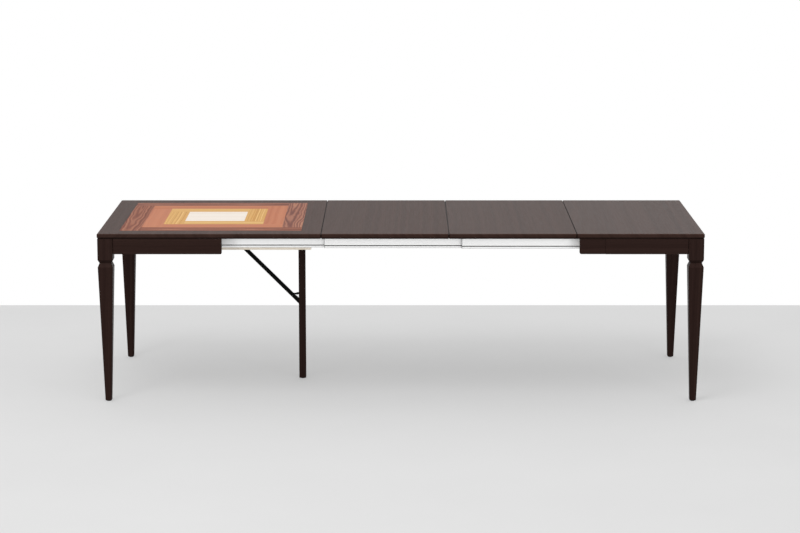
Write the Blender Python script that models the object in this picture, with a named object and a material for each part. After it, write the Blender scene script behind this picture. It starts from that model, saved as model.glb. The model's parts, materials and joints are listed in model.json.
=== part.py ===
"""Square extending table: inlaid fixed top, lift-off leaves, telescopic guides and a folding support leg.

Units are metres with +Z up. X runs along the length, the front edge faces -Y and the floor is z = 0.
The table stands fully extended on its five feet. Places along X are measured from the left end, and
places across the table are depths from the front edge, or from the back edge for the back pieces.
"""

import math

import bmesh
import bpy
from mathutils import Vector

# Top panels
SIDE = 1.000                  # side of the fixed square panel, and the table's depth
HEIGHT = 0.770                # floor to top surface
TOP_THICKNESS = 0.023
LEAF_NAMES = ("leaf_1", "leaf_2", "leaf_3")
LEAF_LENGTH = 0.570
SEAM_GAP = 0.0006
EDGE_EASE = 0.0045            # rounding of the upper outer arrises
EDGE_BEVEL_HEIGHT = 0.0075    # bevel under the outer edges
EDGE_BEVEL_DEPTH = 0.0045
SEAM_EASE = 0.0024            # rounding of the upper arrises along a seam
SEAM_FOOT_EASE = 0.0022       # rounding of the lower arrises along a seam

# Inlay in the fixed panel
INLAY_BORDER = 0.0909         # plain wood around the inlay
BAND_WIDTH = 0.0909
BAND_NAMES = ("inlay_outer_band", "inlay_middle_band", "inlay_inner_band")
VENEER = 0.0015

# Dowel pins in the seams
PIN_RADIUS = 0.004
PIN_REACH = 0.014             # length of a pin on each side of its seam
PIN_EDGE_DISTANCE = 0.150     # pin to the front or back edge

# Legs
LEG = 0.0685                  # square block at the top of a leg
FOOT = 0.029
NECK = 0.053
OVERHANG = 0.0015             # top past the legs
BLOCK_LENGTH = 0.0965         # underside of the top to the start of the neck
NECK_DROP = 0.014             # start of the neck to its narrowest level
NECK_RISE = 0.019             # narrowest level to the start of the taper
LEG_EASE = 0.0035
FOOT_EASE = 0.004
GLIDE_RADIUS = 0.0095
GLIDE_HEIGHT = 0.003

# Aprons
APRON_HEIGHT = 0.0695
APRON_THICKNESS = 0.0185
APRON_REVEAL = 0.003          # apron behind the leg's face
APRON_REACH = 0.557           # table's end to the free end of a front or back apron
APRON_ROUND = 0.008           # lower corner of an apron's free end
TENON_LENGTH = 0.020
TENON_SHOULDER = 0.006
LAP_LIP = 0.003               # left apron's outer skin that covers the right apron's tongue
LAP_CLEARANCE = 0.002

# Telescopic guides
RAIL_HEIGHT = 0.0565
RAIL_THICKNESS = 0.0145
RAIL_GAP = 0.0015             # air between neighbouring rails
RAIL_TOP_CLEARANCE = 0.0005   # rails under the panels
RAIL_LEG_CLEARANCE = 0.0035   # legs to the outermost sliding rail
RAIL_END_CLEARANCE = 0.0055   # end aprons to the rails of the closed table
GROOVE_LOW = 0.0117           # rail's lower edge to the lower groove's middle
GROOVE_HIGH = 0.009           # rail's upper edge to the upper groove's middle
GROOVE_MOUTH = 0.004
GROOVE_LIP = 0.002
GROOVE_WIDTH = 0.007
GROOVE_DEPTH = 0.004
RUN_CLEARANCE = 0.0004        # rib in its groove, and tongue behind its lip
INNER_STAGE = 0.300           # shares of the travel: inner rails out of the fixed ones,
MIDDLE_STAGE = 0.683          # middle out of inner,
OUTER_STAGE = 0.619           # outer out of middle,
CARRIER_STAGE = 0.110         # and carriers out of outer
CARRIER_SETBACK = 0.0165      # right apron's free end to the carrier
CARRIER_LEG_GAP = 0.010

# Bearers and cross rails
BEARER_THICKNESS = 0.025
BEARER_HEIGHT = 0.072
BEARER_SETBACK = 0.049        # first seam to the bearer's free end
CROSS_WIDTH = 0.060
CROSS_THICKNESS = 0.014

# Folding support leg
SUPPORT = 0.032
SUPPORT_SETBACK = 0.105       # first seam to the middle of the support leg
SUPPORT_PIN_RADIUS = 0.004
SUPPORT_GLIDE_RADIUS = 0.011
BRACKET_PLATE = 0.0025
BRACKET_LENGTH = 0.028
BRACKET_ROUND = 0.006
PIN_HEAD = 0.002              # pin past the bracket's cheek

# Brace
BRACE_DEPTH = 0.0178
BRACE_WIDTH = 0.012
BRACE_ANGLE = math.radians(45.0)
BRACE_SEAT_HEIGHT = 0.3735    # floor to the middle of the brace at its seat
BRACE_PIN_RADIUS = 0.003
BRACE_BRACKET_LENGTH = 0.020
PIVOT_CLEARANCE = 0.0008      # brace's round end to its bracket's plate
FOLD_CLEARANCE = 0.0045       # folded brace to folded leg
SEAT_PLATE = 0.003
SEAT_LIP = 0.007
SEAT_CLEARANCE = 0.0005

# Latch
CATCH_REACH = 0.029           # support leg's face to the catch stud
STUD_RADIUS = 0.0022
LUG_LENGTH = 0.011
LUG_HEIGHT = 0.008
LUG_SIDE = 0.001              # lug past the brace's side
LATCH_PIN_RADIUS = 0.002
LATCH_PIN_SETBACK = 0.0065    # support leg's face to the latch pin
HOOK_THICKNESS = 0.004
HOOK_ARM = 0.0076
HOOK_EYE_RADIUS = 0.0046
HOOK_GAP = 0.0009             # arm above the stud
HOOK_SIDE = 0.0013            # prong beside the stud
PRONG_WIDTH = 0.0025
PRONG_DEPTH = 0.0035

# Fits
SEAT_GAP = 0.0003             # between faces that meet
FIT_GAP = 0.0003              # pin in its hole, tenon in its mortise
CUT_OVERRUN = 0.002           # cutters past the faces they break

# Fineness of round forms
ROUND_SIDES = 20
ARC_STEPS = 3
SMOOTH_LIMIT = math.radians(40.0)   # flatter edges than this are shaded smooth

# Places along the length and the height
LENGTH = SIDE + len(LEAF_NAMES) * (LEAF_LENGTH + SEAM_GAP)
FRAME_TRAVEL = LENGTH - SIDE
UNDERSIDE = HEIGHT - TOP_THICKNESS
FRAME_TOP = UNDERSIDE - SEAT_GAP
APRON_BOTTOM = FRAME_TOP - APRON_HEIGHT
LEG_INNER = OVERHANG + LEG
APRON_OUTER = OVERHANG + APRON_REVEAL
APRON_INNER = APRON_OUTER + APRON_THICKNESS
APRON_SHOULDER = LEG_INNER + SEAT_GAP
LAP = max(2 * APRON_REACH - SIDE, 0.0) + LAP_CLEARANCE
PIN_LEVEL = HEIGHT - TOP_THICKNESS / 2

# Places of the guides
RAIL_TOP = UNDERSIDE - RAIL_TOP_CLEARANCE
RAIL_BOTTOM = RAIL_TOP - RAIL_HEIGHT
RAIL_PITCH = RAIL_THICKNESS + RAIL_GAP
RAIL_CLOSED_START = APRON_INNER + RAIL_END_CLEARANCE
RAIL_LENGTH = SIDE - 2 * RAIL_CLOSED_START
OUTER_DEPTH = LEG_INNER + RAIL_LEG_CLEARANCE
MIDDLE_DEPTH = OUTER_DEPTH + RAIL_PITCH
INNER_DEPTH = MIDDLE_DEPTH + RAIL_PITCH
FIXED_DEPTH = INNER_DEPTH + RAIL_PITCH
CARRIER_DEPTH = OUTER_DEPTH - RAIL_PITCH
BEARER_DEPTH = FIXED_DEPTH + RAIL_THICKNESS + SEAT_GAP
BEARER_START = APRON_INNER + SEAT_GAP
BEARER_END = SIDE - BEARER_SETBACK
BEARER_INNER = BEARER_DEPTH + BEARER_THICKNESS
STAGE_SUM = INNER_STAGE + MIDDLE_STAGE + OUTER_STAGE + CARRIER_STAGE
INNER_TRAVEL = FRAME_TRAVEL * INNER_STAGE / STAGE_SUM
MIDDLE_TRAVEL = FRAME_TRAVEL * (INNER_STAGE + MIDDLE_STAGE) / STAGE_SUM
OUTER_TRAVEL = FRAME_TRAVEL * (INNER_STAGE + MIDDLE_STAGE + OUTER_STAGE) / STAGE_SUM
CARRIER_START = LENGTH - APRON_REACH + CARRIER_SETBACK
CARRIER_END = LENGTH - LEG_INNER - CARRIER_LEG_GAP

# Places of the support leg, its brace and its latch
CROSS_BOTTOM = FRAME_TOP - CROSS_THICKNESS
PLATE_TOP = CROSS_BOTTOM - SEAT_GAP
PLATE_BOTTOM = PLATE_TOP - BRACKET_PLATE
BRACE_PIVOT_Z = PLATE_BOTTOM - PIVOT_CLEARANCE - BRACE_DEPTH / 2
SUPPORT_PIVOT_Z = BRACE_PIVOT_Z - BRACE_DEPTH / 2 - FOLD_CLEARANCE - SUPPORT / 2
SUPPORT_PIVOT_X = SIDE - SUPPORT_SETBACK
SUPPORT_FACE = SUPPORT_PIVOT_X - SUPPORT / 2
BRACE_END = SUPPORT_FACE - SEAT_GAP - SEAT_PLATE - SEAT_CLEARANCE
BRACE_PIVOT_X = BRACE_END - (BRACE_PIVOT_Z - BRACE_SEAT_HEIGHT) / math.tan(BRACE_ANGLE)
STUD_X = SUPPORT_FACE - CATCH_REACH
STUD_Z = BRACE_SEAT_HEIGHT + (BRACE_END - STUD_X) * math.tan(BRACE_ANGLE)
LATCH_X = SUPPORT_FACE - LATCH_PIN_SETBACK
LATCH_Z = STUD_Z + STUD_RADIUS + HOOK_GAP + HOOK_ARM / 2
LUG_HALF = BRACE_WIDTH / 2 + LUG_SIDE
HOOK_NEAR = LUG_HALF + SEAT_CLEARANCE
HOOK_FAR = HOOK_NEAR + HOOK_THICKNESS
LATCH_PIN_END = HOOK_FAR + LUG_SIDE

FRONT_AND_BACK = (("front", -1), ("back", 1))


def along(distance):
    """World X of a place given as its distance from the left end."""
    return distance - LENGTH / 2


def across(sign, depth):
    """World Y of a place given as its depth from the front (sign -1) or back (sign 1) edge."""
    return sign * (SIDE / 2 - depth)


# Finishes

def linear(level):
    """Turn an 8-bit display level into linear light."""
    share = level / 255
    return share / 12.92 if share <= 0.04045 else ((share + 0.055) / 1.055) ** 2.4


def finish(name, display_colour, roughness, metallic=0.0):
    """Make a plain surface of one colour, roughness and metallic value."""
    material = bpy.data.materials.new(name)
    material.use_nodes = True
    shader = material.node_tree.nodes["Principled BSDF"]
    colour = [linear(level) for level in display_colour] + [1.0]
    shader.inputs["Base Color"].default_value = colour
    shader.inputs["Roughness"].default_value = roughness
    shader.inputs["Metallic"].default_value = metallic
    material.diffuse_color = colour
    return material


# Mesh helpers

def loft_mesh(rings, closed=False):
    """Skin rings of equal point counts; an open run is capped, a closed one joins its last to its first."""
    bm = bmesh.new()
    layers = [[bm.verts.new(point) for point in ring] for ring in rings]
    pairs = list(zip(layers, layers[1:]))
    if closed:
        pairs.append((layers[-1], layers[0]))
    else:
        bm.faces.new(layers[0])
        bm.faces.new(layers[-1])
    count = len(layers[0])
    for lower, upper in pairs:
        for i in range(count):
            j = (i + 1) % count
            bm.faces.new((lower[i], lower[j], upper[j], upper[i]))
    bmesh.ops.recalc_face_normals(bm, faces=bm.faces)
    return bm


def prism_mesh(outline, axis, start, stop):
    """Carry a flat outline along one axis; its pairs follow the order of the other two axes."""
    place = {
        "X": lambda u, v, w: (w, u, v),
        "Y": lambda u, v, w: (u, w, v),
        "Z": lambda u, v, w: (u, v, w),
    }[axis]
    return loft_mesh([[place(u, v, w) for u, v in outline] for w in (start, stop)])


def box_mesh(x_span, y_span, z_span):
    """A plain block between the given limits."""
    outline = [(x_span[0], y_span[0]), (x_span[1], y_span[0]), (x_span[1], y_span[1]), (x_span[0], y_span[1])]
    return prism_mesh(outline, "Z", *z_span)


def arc(u, v, radius, start_degrees, stop_degrees, steps):
    """Points of an arc in a plane, both ends included."""
    turn = math.radians(stop_degrees - start_degrees) / steps
    first = math.radians(start_degrees)
    angles = [first + turn * i for i in range(steps + 1)]
    return [(u + radius * math.cos(a), v + radius * math.sin(a)) for a in angles]


def rod_mesh(u, v, radius, axis, start, stop):
    """A round bar along one axis, centred on a point of the other two."""
    return prism_mesh(arc(u, v, radius, 0, 360, ROUND_SIDES)[:-1], axis, start, stop)


def near(value, target):
    """Whether a coordinate is the same as a target place."""
    return abs(value - target) < SEAT_GAP / 3


def round_edges(bm, radius, steps, is_chosen):
    """Round the edges whose two ends both pass the given test."""
    edges = [edge for edge in bm.edges if all(is_chosen(vert.co) for vert in edge.verts)]
    bmesh.ops.bevel(
        bm, geom=edges, offset=radius, offset_type="OFFSET", segments=steps, profile=0.5, affect="EDGES"
    )


def add_tenon(bm, axis_index, place):
    """Draw a tenon out of the end face that lies at a place along one axis."""
    face = next(f for f in bm.faces if all(near(vert.co[axis_index], place) for vert in f.verts))
    bmesh.ops.inset_individual(bm, faces=[face], thickness=TENON_SHOULDER, use_even_offset=True)
    outward = face.normal.copy()
    drawn = bmesh.ops.extrude_discrete_faces(bm, faces=[face])["faces"][0]
    bmesh.ops.translate(bm, verts=drawn.verts, vec=outward * TENON_LENGTH)


def world_place(obj):
    """Where an object's origin lies, added up through its parents."""
    if obj is None:
        return Vector((0.0, 0.0, 0.0))
    return obj.location + world_place(obj.parent)


def add_piece(name, bm, surface, parent=None, smooth=False):
    """Make a named object from a mesh in world places, with its origin at the middle of its box."""
    lows = [min(vert.co[i] for vert in bm.verts) for i in range(3)]
    highs = [max(vert.co[i] for vert in bm.verts) for i in range(3)]
    origin = (Vector(lows) + Vector(highs)) / 2
    bmesh.ops.translate(bm, verts=bm.verts, vec=-origin)
    mesh = bpy.data.meshes.new(name)
    bm.to_mesh(mesh)
    bm.free()
    if smooth:
        mesh.shade_smooth()
        mesh.set_sharp_from_angle(angle=SMOOTH_LIMIT)
    if surface is not None:
        mesh.materials.append(surface)
    piece = bpy.data.objects.new(name, mesh)
    bpy.context.scene.collection.objects.link(piece)
    piece.parent = parent
    piece.location = origin - world_place(parent)
    return piece


def cut(piece, *cutter_meshes):
    """Cut closed shapes, given in world places, out of a piece."""
    for number, bm in enumerate(cutter_meshes, start=1):
        cutter = add_piece(f"{piece.name}_cutter_{number}", bm, None, piece)
        cutter.hide_render = True
        cutter.display_type = "WIRE"
        modifier = piece.modifiers.new(f"cut_{number}", "BOOLEAN")
        modifier.operation = "DIFFERENCE"
        modifier.solver = "EXACT"
        modifier.object = cutter


def joint_axis(name, x=0.0, y=0.0, z=0.0):
    """An empty on a joint's axis that carries the pieces which move together."""
    empty = bpy.data.objects.new(name, None)
    bpy.context.scene.collection.objects.link(empty)
    empty.location = (x, y, z)
    return empty


# Top panels, inlay and seam pins

def ease_inset(radius, distance):
    """How far a rounded arris draws in at a distance from the face that it runs out on."""
    if distance >= radius:
        return 0.0
    return radius - math.sqrt(radius ** 2 - (radius - distance) ** 2)


def panel_mesh(start, stop, seam_left, seam_right):
    """A top panel, bevelled below and rounded above at the table's own edges, with rounded seams."""
    shares = [1 - math.cos(math.pi / 2 * i / ARC_STEPS) for i in range(ARC_STEPS + 1)]
    levels = []
    for rise in [SEAM_FOOT_EASE * share for share in shares] + [EDGE_BEVEL_HEIGHT]:
        bevel = EDGE_BEVEL_DEPTH * (1 - rise / EDGE_BEVEL_HEIGHT)
        levels.append((UNDERSIDE + rise, bevel, ease_inset(SEAM_FOOT_EASE, rise)))
    for drop in [EDGE_EASE * share for share in reversed(shares)]:
        levels.append((HEIGHT - drop, ease_inset(EDGE_EASE, drop), ease_inset(SEAM_EASE, drop)))
    rings = []
    for z, edge, seam in levels:
        left = along(start) + (seam if seam_left else edge)
        right = along(stop) - (seam if seam_right else edge)
        front = across(-1, edge)
        rings.append([(left, front, z), (right, front, z), (right, -front, z), (left, -front, z)])
    return loft_mesh(rings)


def seam_pins(owner, seam, steel, parent=None):
    """Two dowel pins that stand out of a panel's right edge."""
    holes = []
    for side, sign in FRONT_AND_BACK:
        y = across(sign, PIN_EDGE_DISTANCE)
        start = along(seam - PIN_REACH)
        stop = along(seam + SEAM_GAP + PIN_REACH)
        pin = rod_mesh(y, PIN_LEVEL, PIN_RADIUS, "X", start, stop)
        add_piece(f"{owner.name}_{side}_pin", pin, steel, parent, True)
        hole_stop = along(seam + CUT_OVERRUN)
        holes.append(rod_mesh(y, PIN_LEVEL, PIN_RADIUS + FIT_GAP, "X", start - FIT_GAP, hole_stop))
    return holes


def pin_slots(seam):
    """Slots, open below, that let a panel drop over its neighbour's pins."""
    slots = []
    for _, sign in FRONT_AND_BACK:
        y = across(sign, PIN_EDGE_DISTANCE)
        half = PIN_RADIUS + FIT_GAP
        x_span = (along(seam) - CUT_OVERRUN, along(seam + SEAM_GAP + PIN_REACH) + FIT_GAP)
        slots.append(box_mesh(x_span, (y - half, y + half), (UNDERSIDE - CUT_OVERRUN, PIN_LEVEL + half)))
    return slots


def square_ring(half, z):
    """Corners of a level square centred on the fixed panel."""
    left = along(SIDE / 2) - half
    right = along(SIDE / 2) + half
    return [(left, -half, z), (right, -half, z), (right, half, z), (left, half, z)]


def build_inlay(surfaces):
    """Nested square veneer bands around a centre square, flush with the panel."""
    low = HEIGHT - VENEER
    outer = SIDE / 2 - INLAY_BORDER
    for name, surface in zip(BAND_NAMES, surfaces):
        inner = outer - BAND_WIDTH + FIT_GAP
        rings = [square_ring(outer, low), square_ring(outer, HEIGHT)]
        rings += [square_ring(inner, HEIGHT), square_ring(inner, low)]
        add_piece(name, loft_mesh(rings, closed=True), surface)
        outer -= BAND_WIDTH
    add_piece("inlay_centre", loft_mesh([square_ring(outer, low), square_ring(outer, HEIGHT)]), surfaces[-1])


def build_main_top(dark_wood, steel):
    """The fixed square panel, with the recess for its inlay and the pins of the first seam."""
    top = add_piece("main_top", panel_mesh(0.0, SIDE, False, True), dark_wood)
    recess_half = SIDE / 2 - INLAY_BORDER + FIT_GAP
    recess_levels = (HEIGHT - VENEER - SEAT_GAP, HEIGHT + CUT_OVERRUN)
    recess = loft_mesh([square_ring(recess_half, z) for z in recess_levels])
    cut(top, recess, *seam_pins(top, SIDE, steel))


def build_leaves(dark_wood, steel):
    """The lift-off leaves; each drops over its neighbour's pins, and the last one ends the table."""
    seam = SIDE
    for name in LEAF_NAMES:
        start = seam + SEAM_GAP
        stop = start + LEAF_LENGTH
        is_last = name == LEAF_NAMES[-1]
        axis = joint_axis(f"{name}_lift_axis", along((start + stop) / 2), 0.0, UNDERSIDE)
        leaf = add_piece(name, panel_mesh(start, stop, True, not is_last), dark_wood, axis)
        cutters = pin_slots(seam)
        if not is_last:
            cutters += seam_pins(leaf, stop, steel, axis)
        cut(leaf, *cutters)
        seam = stop


# Half frames: legs and aprons

def eased_square(x, y, half, ease):
    """Corner points of a square whose corners are cut by a small ease."""
    short = half - ease
    corners = [(half, -short), (half, short), (short, half), (-short, half)]
    corners += [(-half, short), (-half, -short), (-short, -half), (short, -half)]
    return [(x + u, y + v) for u, v in corners]


def leg_mesh(x, y):
    """A square block, a V-shaped neck and a straight taper down to a small foot with rounded edges."""
    foot_level = GLIDE_HEIGHT + SEAT_GAP
    block_level = UNDERSIDE - BLOCK_LENGTH
    neck_level = block_level - NECK_DROP
    taper_level = neck_level - NECK_RISE
    sections = [
        (foot_level, FOOT / 2 - FOOT_EASE),
        (foot_level + FOOT_EASE, FOOT / 2),
        (taper_level, LEG / 2),
        (neck_level, NECK / 2),
        (block_level, LEG / 2),
        (FRAME_TOP, LEG / 2),
    ]
    return loft_mesh([[(u, v, z) for u, v in eased_square(x, y, half, LEG_EASE)] for z, half in sections])


def mortise(x_span, y_span):
    """A tenon's hole in a leg, at the aprons' level."""
    z_span = (APRON_BOTTOM + TENON_SHOULDER - FIT_GAP, FRAME_TOP - TENON_SHOULDER + FIT_GAP)
    return box_mesh(sorted(x_span), sorted(y_span), z_span)


def build_legs(half_frame, is_left, dark_wood, plastic, parent=None):
    """The two legs of a half frame with their mortises, and a glide under each foot."""
    def place(distance):
        return along(distance if is_left else LENGTH - distance)

    tenon_outer = APRON_OUTER + TENON_SHOULDER - FIT_GAP
    tenon_inner = APRON_INNER - TENON_SHOULDER + FIT_GAP
    tenon_end = APRON_SHOULDER - TENON_LENGTH - FIT_GAP
    mouth = LEG_INNER + CUT_OVERRUN
    for side, sign in FRONT_AND_BACK:
        x = place(OVERHANG + LEG / 2)
        y = across(sign, OVERHANG + LEG / 2)
        leg = add_piece(f"{side}_{half_frame}_leg", leg_mesh(x, y), dark_wood, parent)
        long_mortise = mortise(
            (place(tenon_end), place(mouth)), (across(sign, tenon_outer), across(sign, tenon_inner))
        )
        end_mortise = mortise(
            (place(tenon_outer), place(tenon_inner)), (across(sign, tenon_end), across(sign, mouth))
        )
        cut(leg, long_mortise, end_mortise)
        glide = rod_mesh(x, y, GLIDE_RADIUS, "Z", 0.0, GLIDE_HEIGHT)
        add_piece(f"{side}_{half_frame}_glide", glide, plastic, parent, True)


def long_apron_mesh(sign, is_left):
    """A front or back apron: tenon at its leg, and one half of the sliding lap at its free end."""
    tip = APRON_REACH
    shoulder = APRON_REACH - LAP
    if is_left:
        lip = APRON_OUTER + LAP_LIP
        plan = [(APRON_SHOULDER, APRON_OUTER), (tip, APRON_OUTER), (tip, lip)]
        plan += [(shoulder, lip), (shoulder, APRON_INNER), (APRON_SHOULDER, APRON_INNER)]
    else:
        tongue = APRON_OUTER + LAP_LIP + RUN_CLEARANCE
        plan = [(APRON_SHOULDER, APRON_OUTER), (shoulder, APRON_OUTER), (shoulder, tongue)]
        plan += [(tip, tongue), (tip, APRON_INNER), (APRON_SHOULDER, APRON_INNER)]

    def place(distance):
        return along(distance if is_left else LENGTH - distance)

    outline = [(place(distance), across(sign, depth)) for distance, depth in plan]
    bm = prism_mesh(outline, "Z", APRON_BOTTOM, FRAME_TOP)
    add_tenon(bm, 0, place(APRON_SHOULDER))
    round_edges(bm, APRON_ROUND, ARC_STEPS, lambda co: near(co.x, place(tip)) and near(co.z, APRON_BOTTOM))
    return bm


def end_apron_mesh(is_left):
    """The apron at one end of the table, with a tenon in each leg."""
    outer, inner = (along(d if is_left else LENGTH - d) for d in (APRON_OUTER, APRON_INNER))
    y_end = across(1, APRON_SHOULDER)
    bm = box_mesh(sorted((outer, inner)), (-y_end, y_end), (APRON_BOTTOM, FRAME_TOP))
    add_tenon(bm, 1, -y_end)
    add_tenon(bm, 1, y_end)
    return bm


def build_half_frame(half_frame, dark_wood, plastic, parent=None):
    """Legs, glides and aprons of the left or the right end of the table."""
    is_left = half_frame == "left"
    build_legs(half_frame, is_left, dark_wood, plastic, parent)
    for side, sign in FRONT_AND_BACK:
        add_piece(f"{side}_{half_frame}_apron", long_apron_mesh(sign, is_left), dark_wood, parent)
    add_piece(f"{half_frame}_end_apron", end_apron_mesh(is_left), dark_wood, parent)


# Telescopic guides and their bearers

def rail_profile(sign, depth, has_grooves, has_ribs):
    """A rail's section: T-shaped grooves in its outer face, and ribs on its inner face for the next rail."""
    levels = (RAIL_BOTTOM + GROOVE_LOW, RAIL_TOP - GROOVE_HIGH)
    inner = depth + RAIL_THICKNESS
    points = [(depth, RAIL_BOTTOM), (inner, RAIL_BOTTOM)]
    if has_ribs:
        neck = GROOVE_MOUTH / 2 - RUN_CLEARANCE
        head = GROOVE_WIDTH / 2 - RUN_CLEARANCE
        head_start = inner + RAIL_GAP + GROOVE_LIP + RUN_CLEARANCE
        head_stop = inner + RAIL_GAP + GROOVE_LIP + GROOVE_DEPTH - RUN_CLEARANCE
        for z in levels:
            points += [(inner, z - neck), (head_start, z - neck)]
            points += [(head_start, z - head), (head_stop, z - head)]
            points += [(head_stop, z + head), (head_start, z + head)]
            points += [(head_start, z + neck), (inner, z + neck)]
    points += [(inner, RAIL_TOP), (depth, RAIL_TOP)]
    if has_grooves:
        mouth = GROOVE_MOUTH / 2
        room = GROOVE_WIDTH / 2
        lip = depth + GROOVE_LIP
        back = lip + GROOVE_DEPTH
        for z in reversed(levels):
            points += [(depth, z + mouth), (lip, z + mouth), (lip, z + room), (back, z + room)]
            points += [(back, z - room), (lip, z - room), (lip, z - mouth), (depth, z - mouth)]
    return [(across(sign, d), z) for d, z in points]


def build_rails(stage, depth, start, stop, aluminium, parent=None, has_grooves=True, has_ribs=True):
    """The front and back rail of one stage of the guides."""
    for side, sign in FRONT_AND_BACK:
        profile = rail_profile(sign, depth, has_grooves, has_ribs)
        rail = prism_mesh(profile, "X", along(start), along(stop))
        add_piece(f"{side}_{stage}_rail", rail, aluminium, parent)


def build_guides(aluminium, pale_wood, right_frame):
    """Bearers with fixed rails, three sliding stages, and the carriers on the right half frame."""
    build_rails("fixed", FIXED_DEPTH, BEARER_START, BEARER_END, aluminium, has_ribs=False)
    stages = (
        ("inner", INNER_DEPTH, INNER_TRAVEL),
        ("middle", MIDDLE_DEPTH, MIDDLE_TRAVEL),
        ("outer", OUTER_DEPTH, OUTER_TRAVEL),
    )
    for stage, depth, travel in stages:
        start = RAIL_CLOSED_START + travel
        axis = joint_axis(f"{stage}_rail_slide_axis", along(start + RAIL_LENGTH / 2), 0.0, RAIL_TOP)
        build_rails(stage, depth, start, start + RAIL_LENGTH, aluminium, axis)
    build_rails(
        "carrier", CARRIER_DEPTH, CARRIER_START, CARRIER_END, aluminium, right_frame, has_grooves=False
    )
    for side, sign in FRONT_AND_BACK:
        bearer_y = sorted((across(sign, BEARER_DEPTH), across(sign, BEARER_INNER)))
        bearer_x = (along(BEARER_START), along(BEARER_END))
        bearer = box_mesh(bearer_x, bearer_y, (FRAME_TOP - BEARER_HEIGHT, FRAME_TOP))
        add_piece(f"{side}_bearer", bearer, pale_wood)
        spacer_y = sorted((across(sign, APRON_INNER + SEAT_GAP), across(sign, CARRIER_DEPTH - SEAT_GAP)))
        spacer_x = (along(CARRIER_START), along(CARRIER_END))
        spacer = box_mesh(spacer_x, spacer_y, (RAIL_BOTTOM, RAIL_TOP))
        add_piece(f"{side}_spacer", spacer, pale_wood, right_frame)


# Support leg, brace and latch

def bracket_mesh(x, pivot_z, inner_half, length, reach):
    """A U-shaped hinge bracket: a plate under its cross rail and a cheek on each side of the pin."""
    outer_half = inner_half + BRACKET_PLATE
    low = pivot_z - reach
    section = [(-outer_half, PLATE_TOP), (outer_half, PLATE_TOP), (outer_half, low), (inner_half, low)]
    section += [(inner_half, PLATE_BOTTOM), (-inner_half, PLATE_BOTTOM)]
    section += [(-inner_half, low), (-outer_half, low)]
    bm = prism_mesh(section, "X", along(x) - length / 2, along(x) + length / 2)
    for end in (along(x) - length / 2, along(x) + length / 2):
        round_edges(bm, BRACKET_ROUND, ARC_STEPS, lambda co: near(co.x, end) and near(co.z, low))
    return bm


def build_hinge(name, x, pivot_z, half_width, pin_radius, length, steel, black, pale_wood):
    """A cross rail between the bearers with the bracket and the pin of one hinge."""
    reach = across(1, BEARER_INNER + SEAT_GAP)
    rail_x = (along(x) - CROSS_WIDTH / 2, along(x) + CROSS_WIDTH / 2)
    add_piece(f"{name}_cross_rail", box_mesh(rail_x, (-reach, reach), (CROSS_BOTTOM, FRAME_TOP)), pale_wood)
    inner_half = half_width + SEAT_CLEARANCE
    cheek_reach = length / 2
    bracket = add_piece(f"{name}_bracket", bracket_mesh(x, pivot_z, inner_half, length, cheek_reach), black)
    pin_end = inner_half + BRACKET_PLATE + PIN_HEAD
    cut(bracket, rod_mesh(along(x), pivot_z, pin_radius + FIT_GAP, "Y", -pin_end, pin_end))
    pin = rod_mesh(along(x), pivot_z, pin_radius, "Y", -pin_end, pin_end)
    add_piece(f"{name}_hinge_pin", pin, steel, smooth=True)


def build_support_leg(dark_wood, plastic, black, steel):
    """The folding leg with its glide, the slanted seat for the brace, and the lug and pin of the latch."""
    axis = joint_axis("support_leg_fold_axis", along(SUPPORT_PIVOT_X), 0.0, SUPPORT_PIVOT_Z)
    x = along(SUPPORT_PIVOT_X)
    half = SUPPORT / 2
    foot = GLIDE_HEIGHT + SEAT_GAP
    outline = [(x - half, foot), (x + half, foot)]
    outline += arc(x, SUPPORT_PIVOT_Z, half, 0, 180, 4 * ARC_STEPS)
    bm = prism_mesh(outline, "Y", -half, half)
    leg = add_piece("support_leg", bm, dark_wood, axis)
    pin_room = half + CUT_OVERRUN
    cut(leg, rod_mesh(x, SUPPORT_PIVOT_Z, SUPPORT_PIN_RADIUS + FIT_GAP, "Y", -pin_room, pin_room))
    glide = rod_mesh(x, 0.0, SUPPORT_GLIDE_RADIUS, "Z", 0.0, GLIDE_HEIGHT)
    add_piece("support_glide", glide, plastic, axis, True)

    base = along(SUPPORT_FACE) - SEAT_GAP
    inner = BRACE_WIDTH / 2 + SEAT_CLEARANCE
    outer = inner + SEAT_PLATE
    plate = base - SEAT_PLATE
    tip = plate - SEAT_LIP
    plan = [(base, -outer), (base, outer), (tip, outer), (tip, inner)]
    plan += [(plate, inner), (plate, -inner), (tip, -inner), (tip, -outer)]
    rise = math.tan(BRACE_ANGLE)
    reach = BRACE_DEPTH / 2 / math.cos(BRACE_ANGLE)
    levels = (BRACE_SEAT_HEIGHT - reach, BRACE_SEAT_HEIGHT + reach)
    seat = [[(u, v, level + (plate - u) * rise) for u, v in plan] for level in levels]
    add_piece("brace_seat", loft_mesh(seat), black, axis)

    lug_x = (along(SUPPORT_FACE) - SEAT_GAP - LUG_LENGTH, along(SUPPORT_FACE) - SEAT_GAP)
    lug_z = (LATCH_Z - LUG_HEIGHT / 2, LATCH_Z + LUG_HEIGHT / 2)
    lug = add_piece("latch_lug", box_mesh(lug_x, (-LUG_HALF, LUG_HALF), lug_z), black, axis)
    pin_room = LUG_HALF + CUT_OVERRUN
    cut(lug, rod_mesh(along(LATCH_X), LATCH_Z, LATCH_PIN_RADIUS + FIT_GAP, "Y", -pin_room, pin_room))
    pin = rod_mesh(along(LATCH_X), LATCH_Z, LATCH_PIN_RADIUS, "Y", -LATCH_PIN_END, LUG_HALF)
    add_piece("latch_pin", pin, steel, axis, True)


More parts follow.
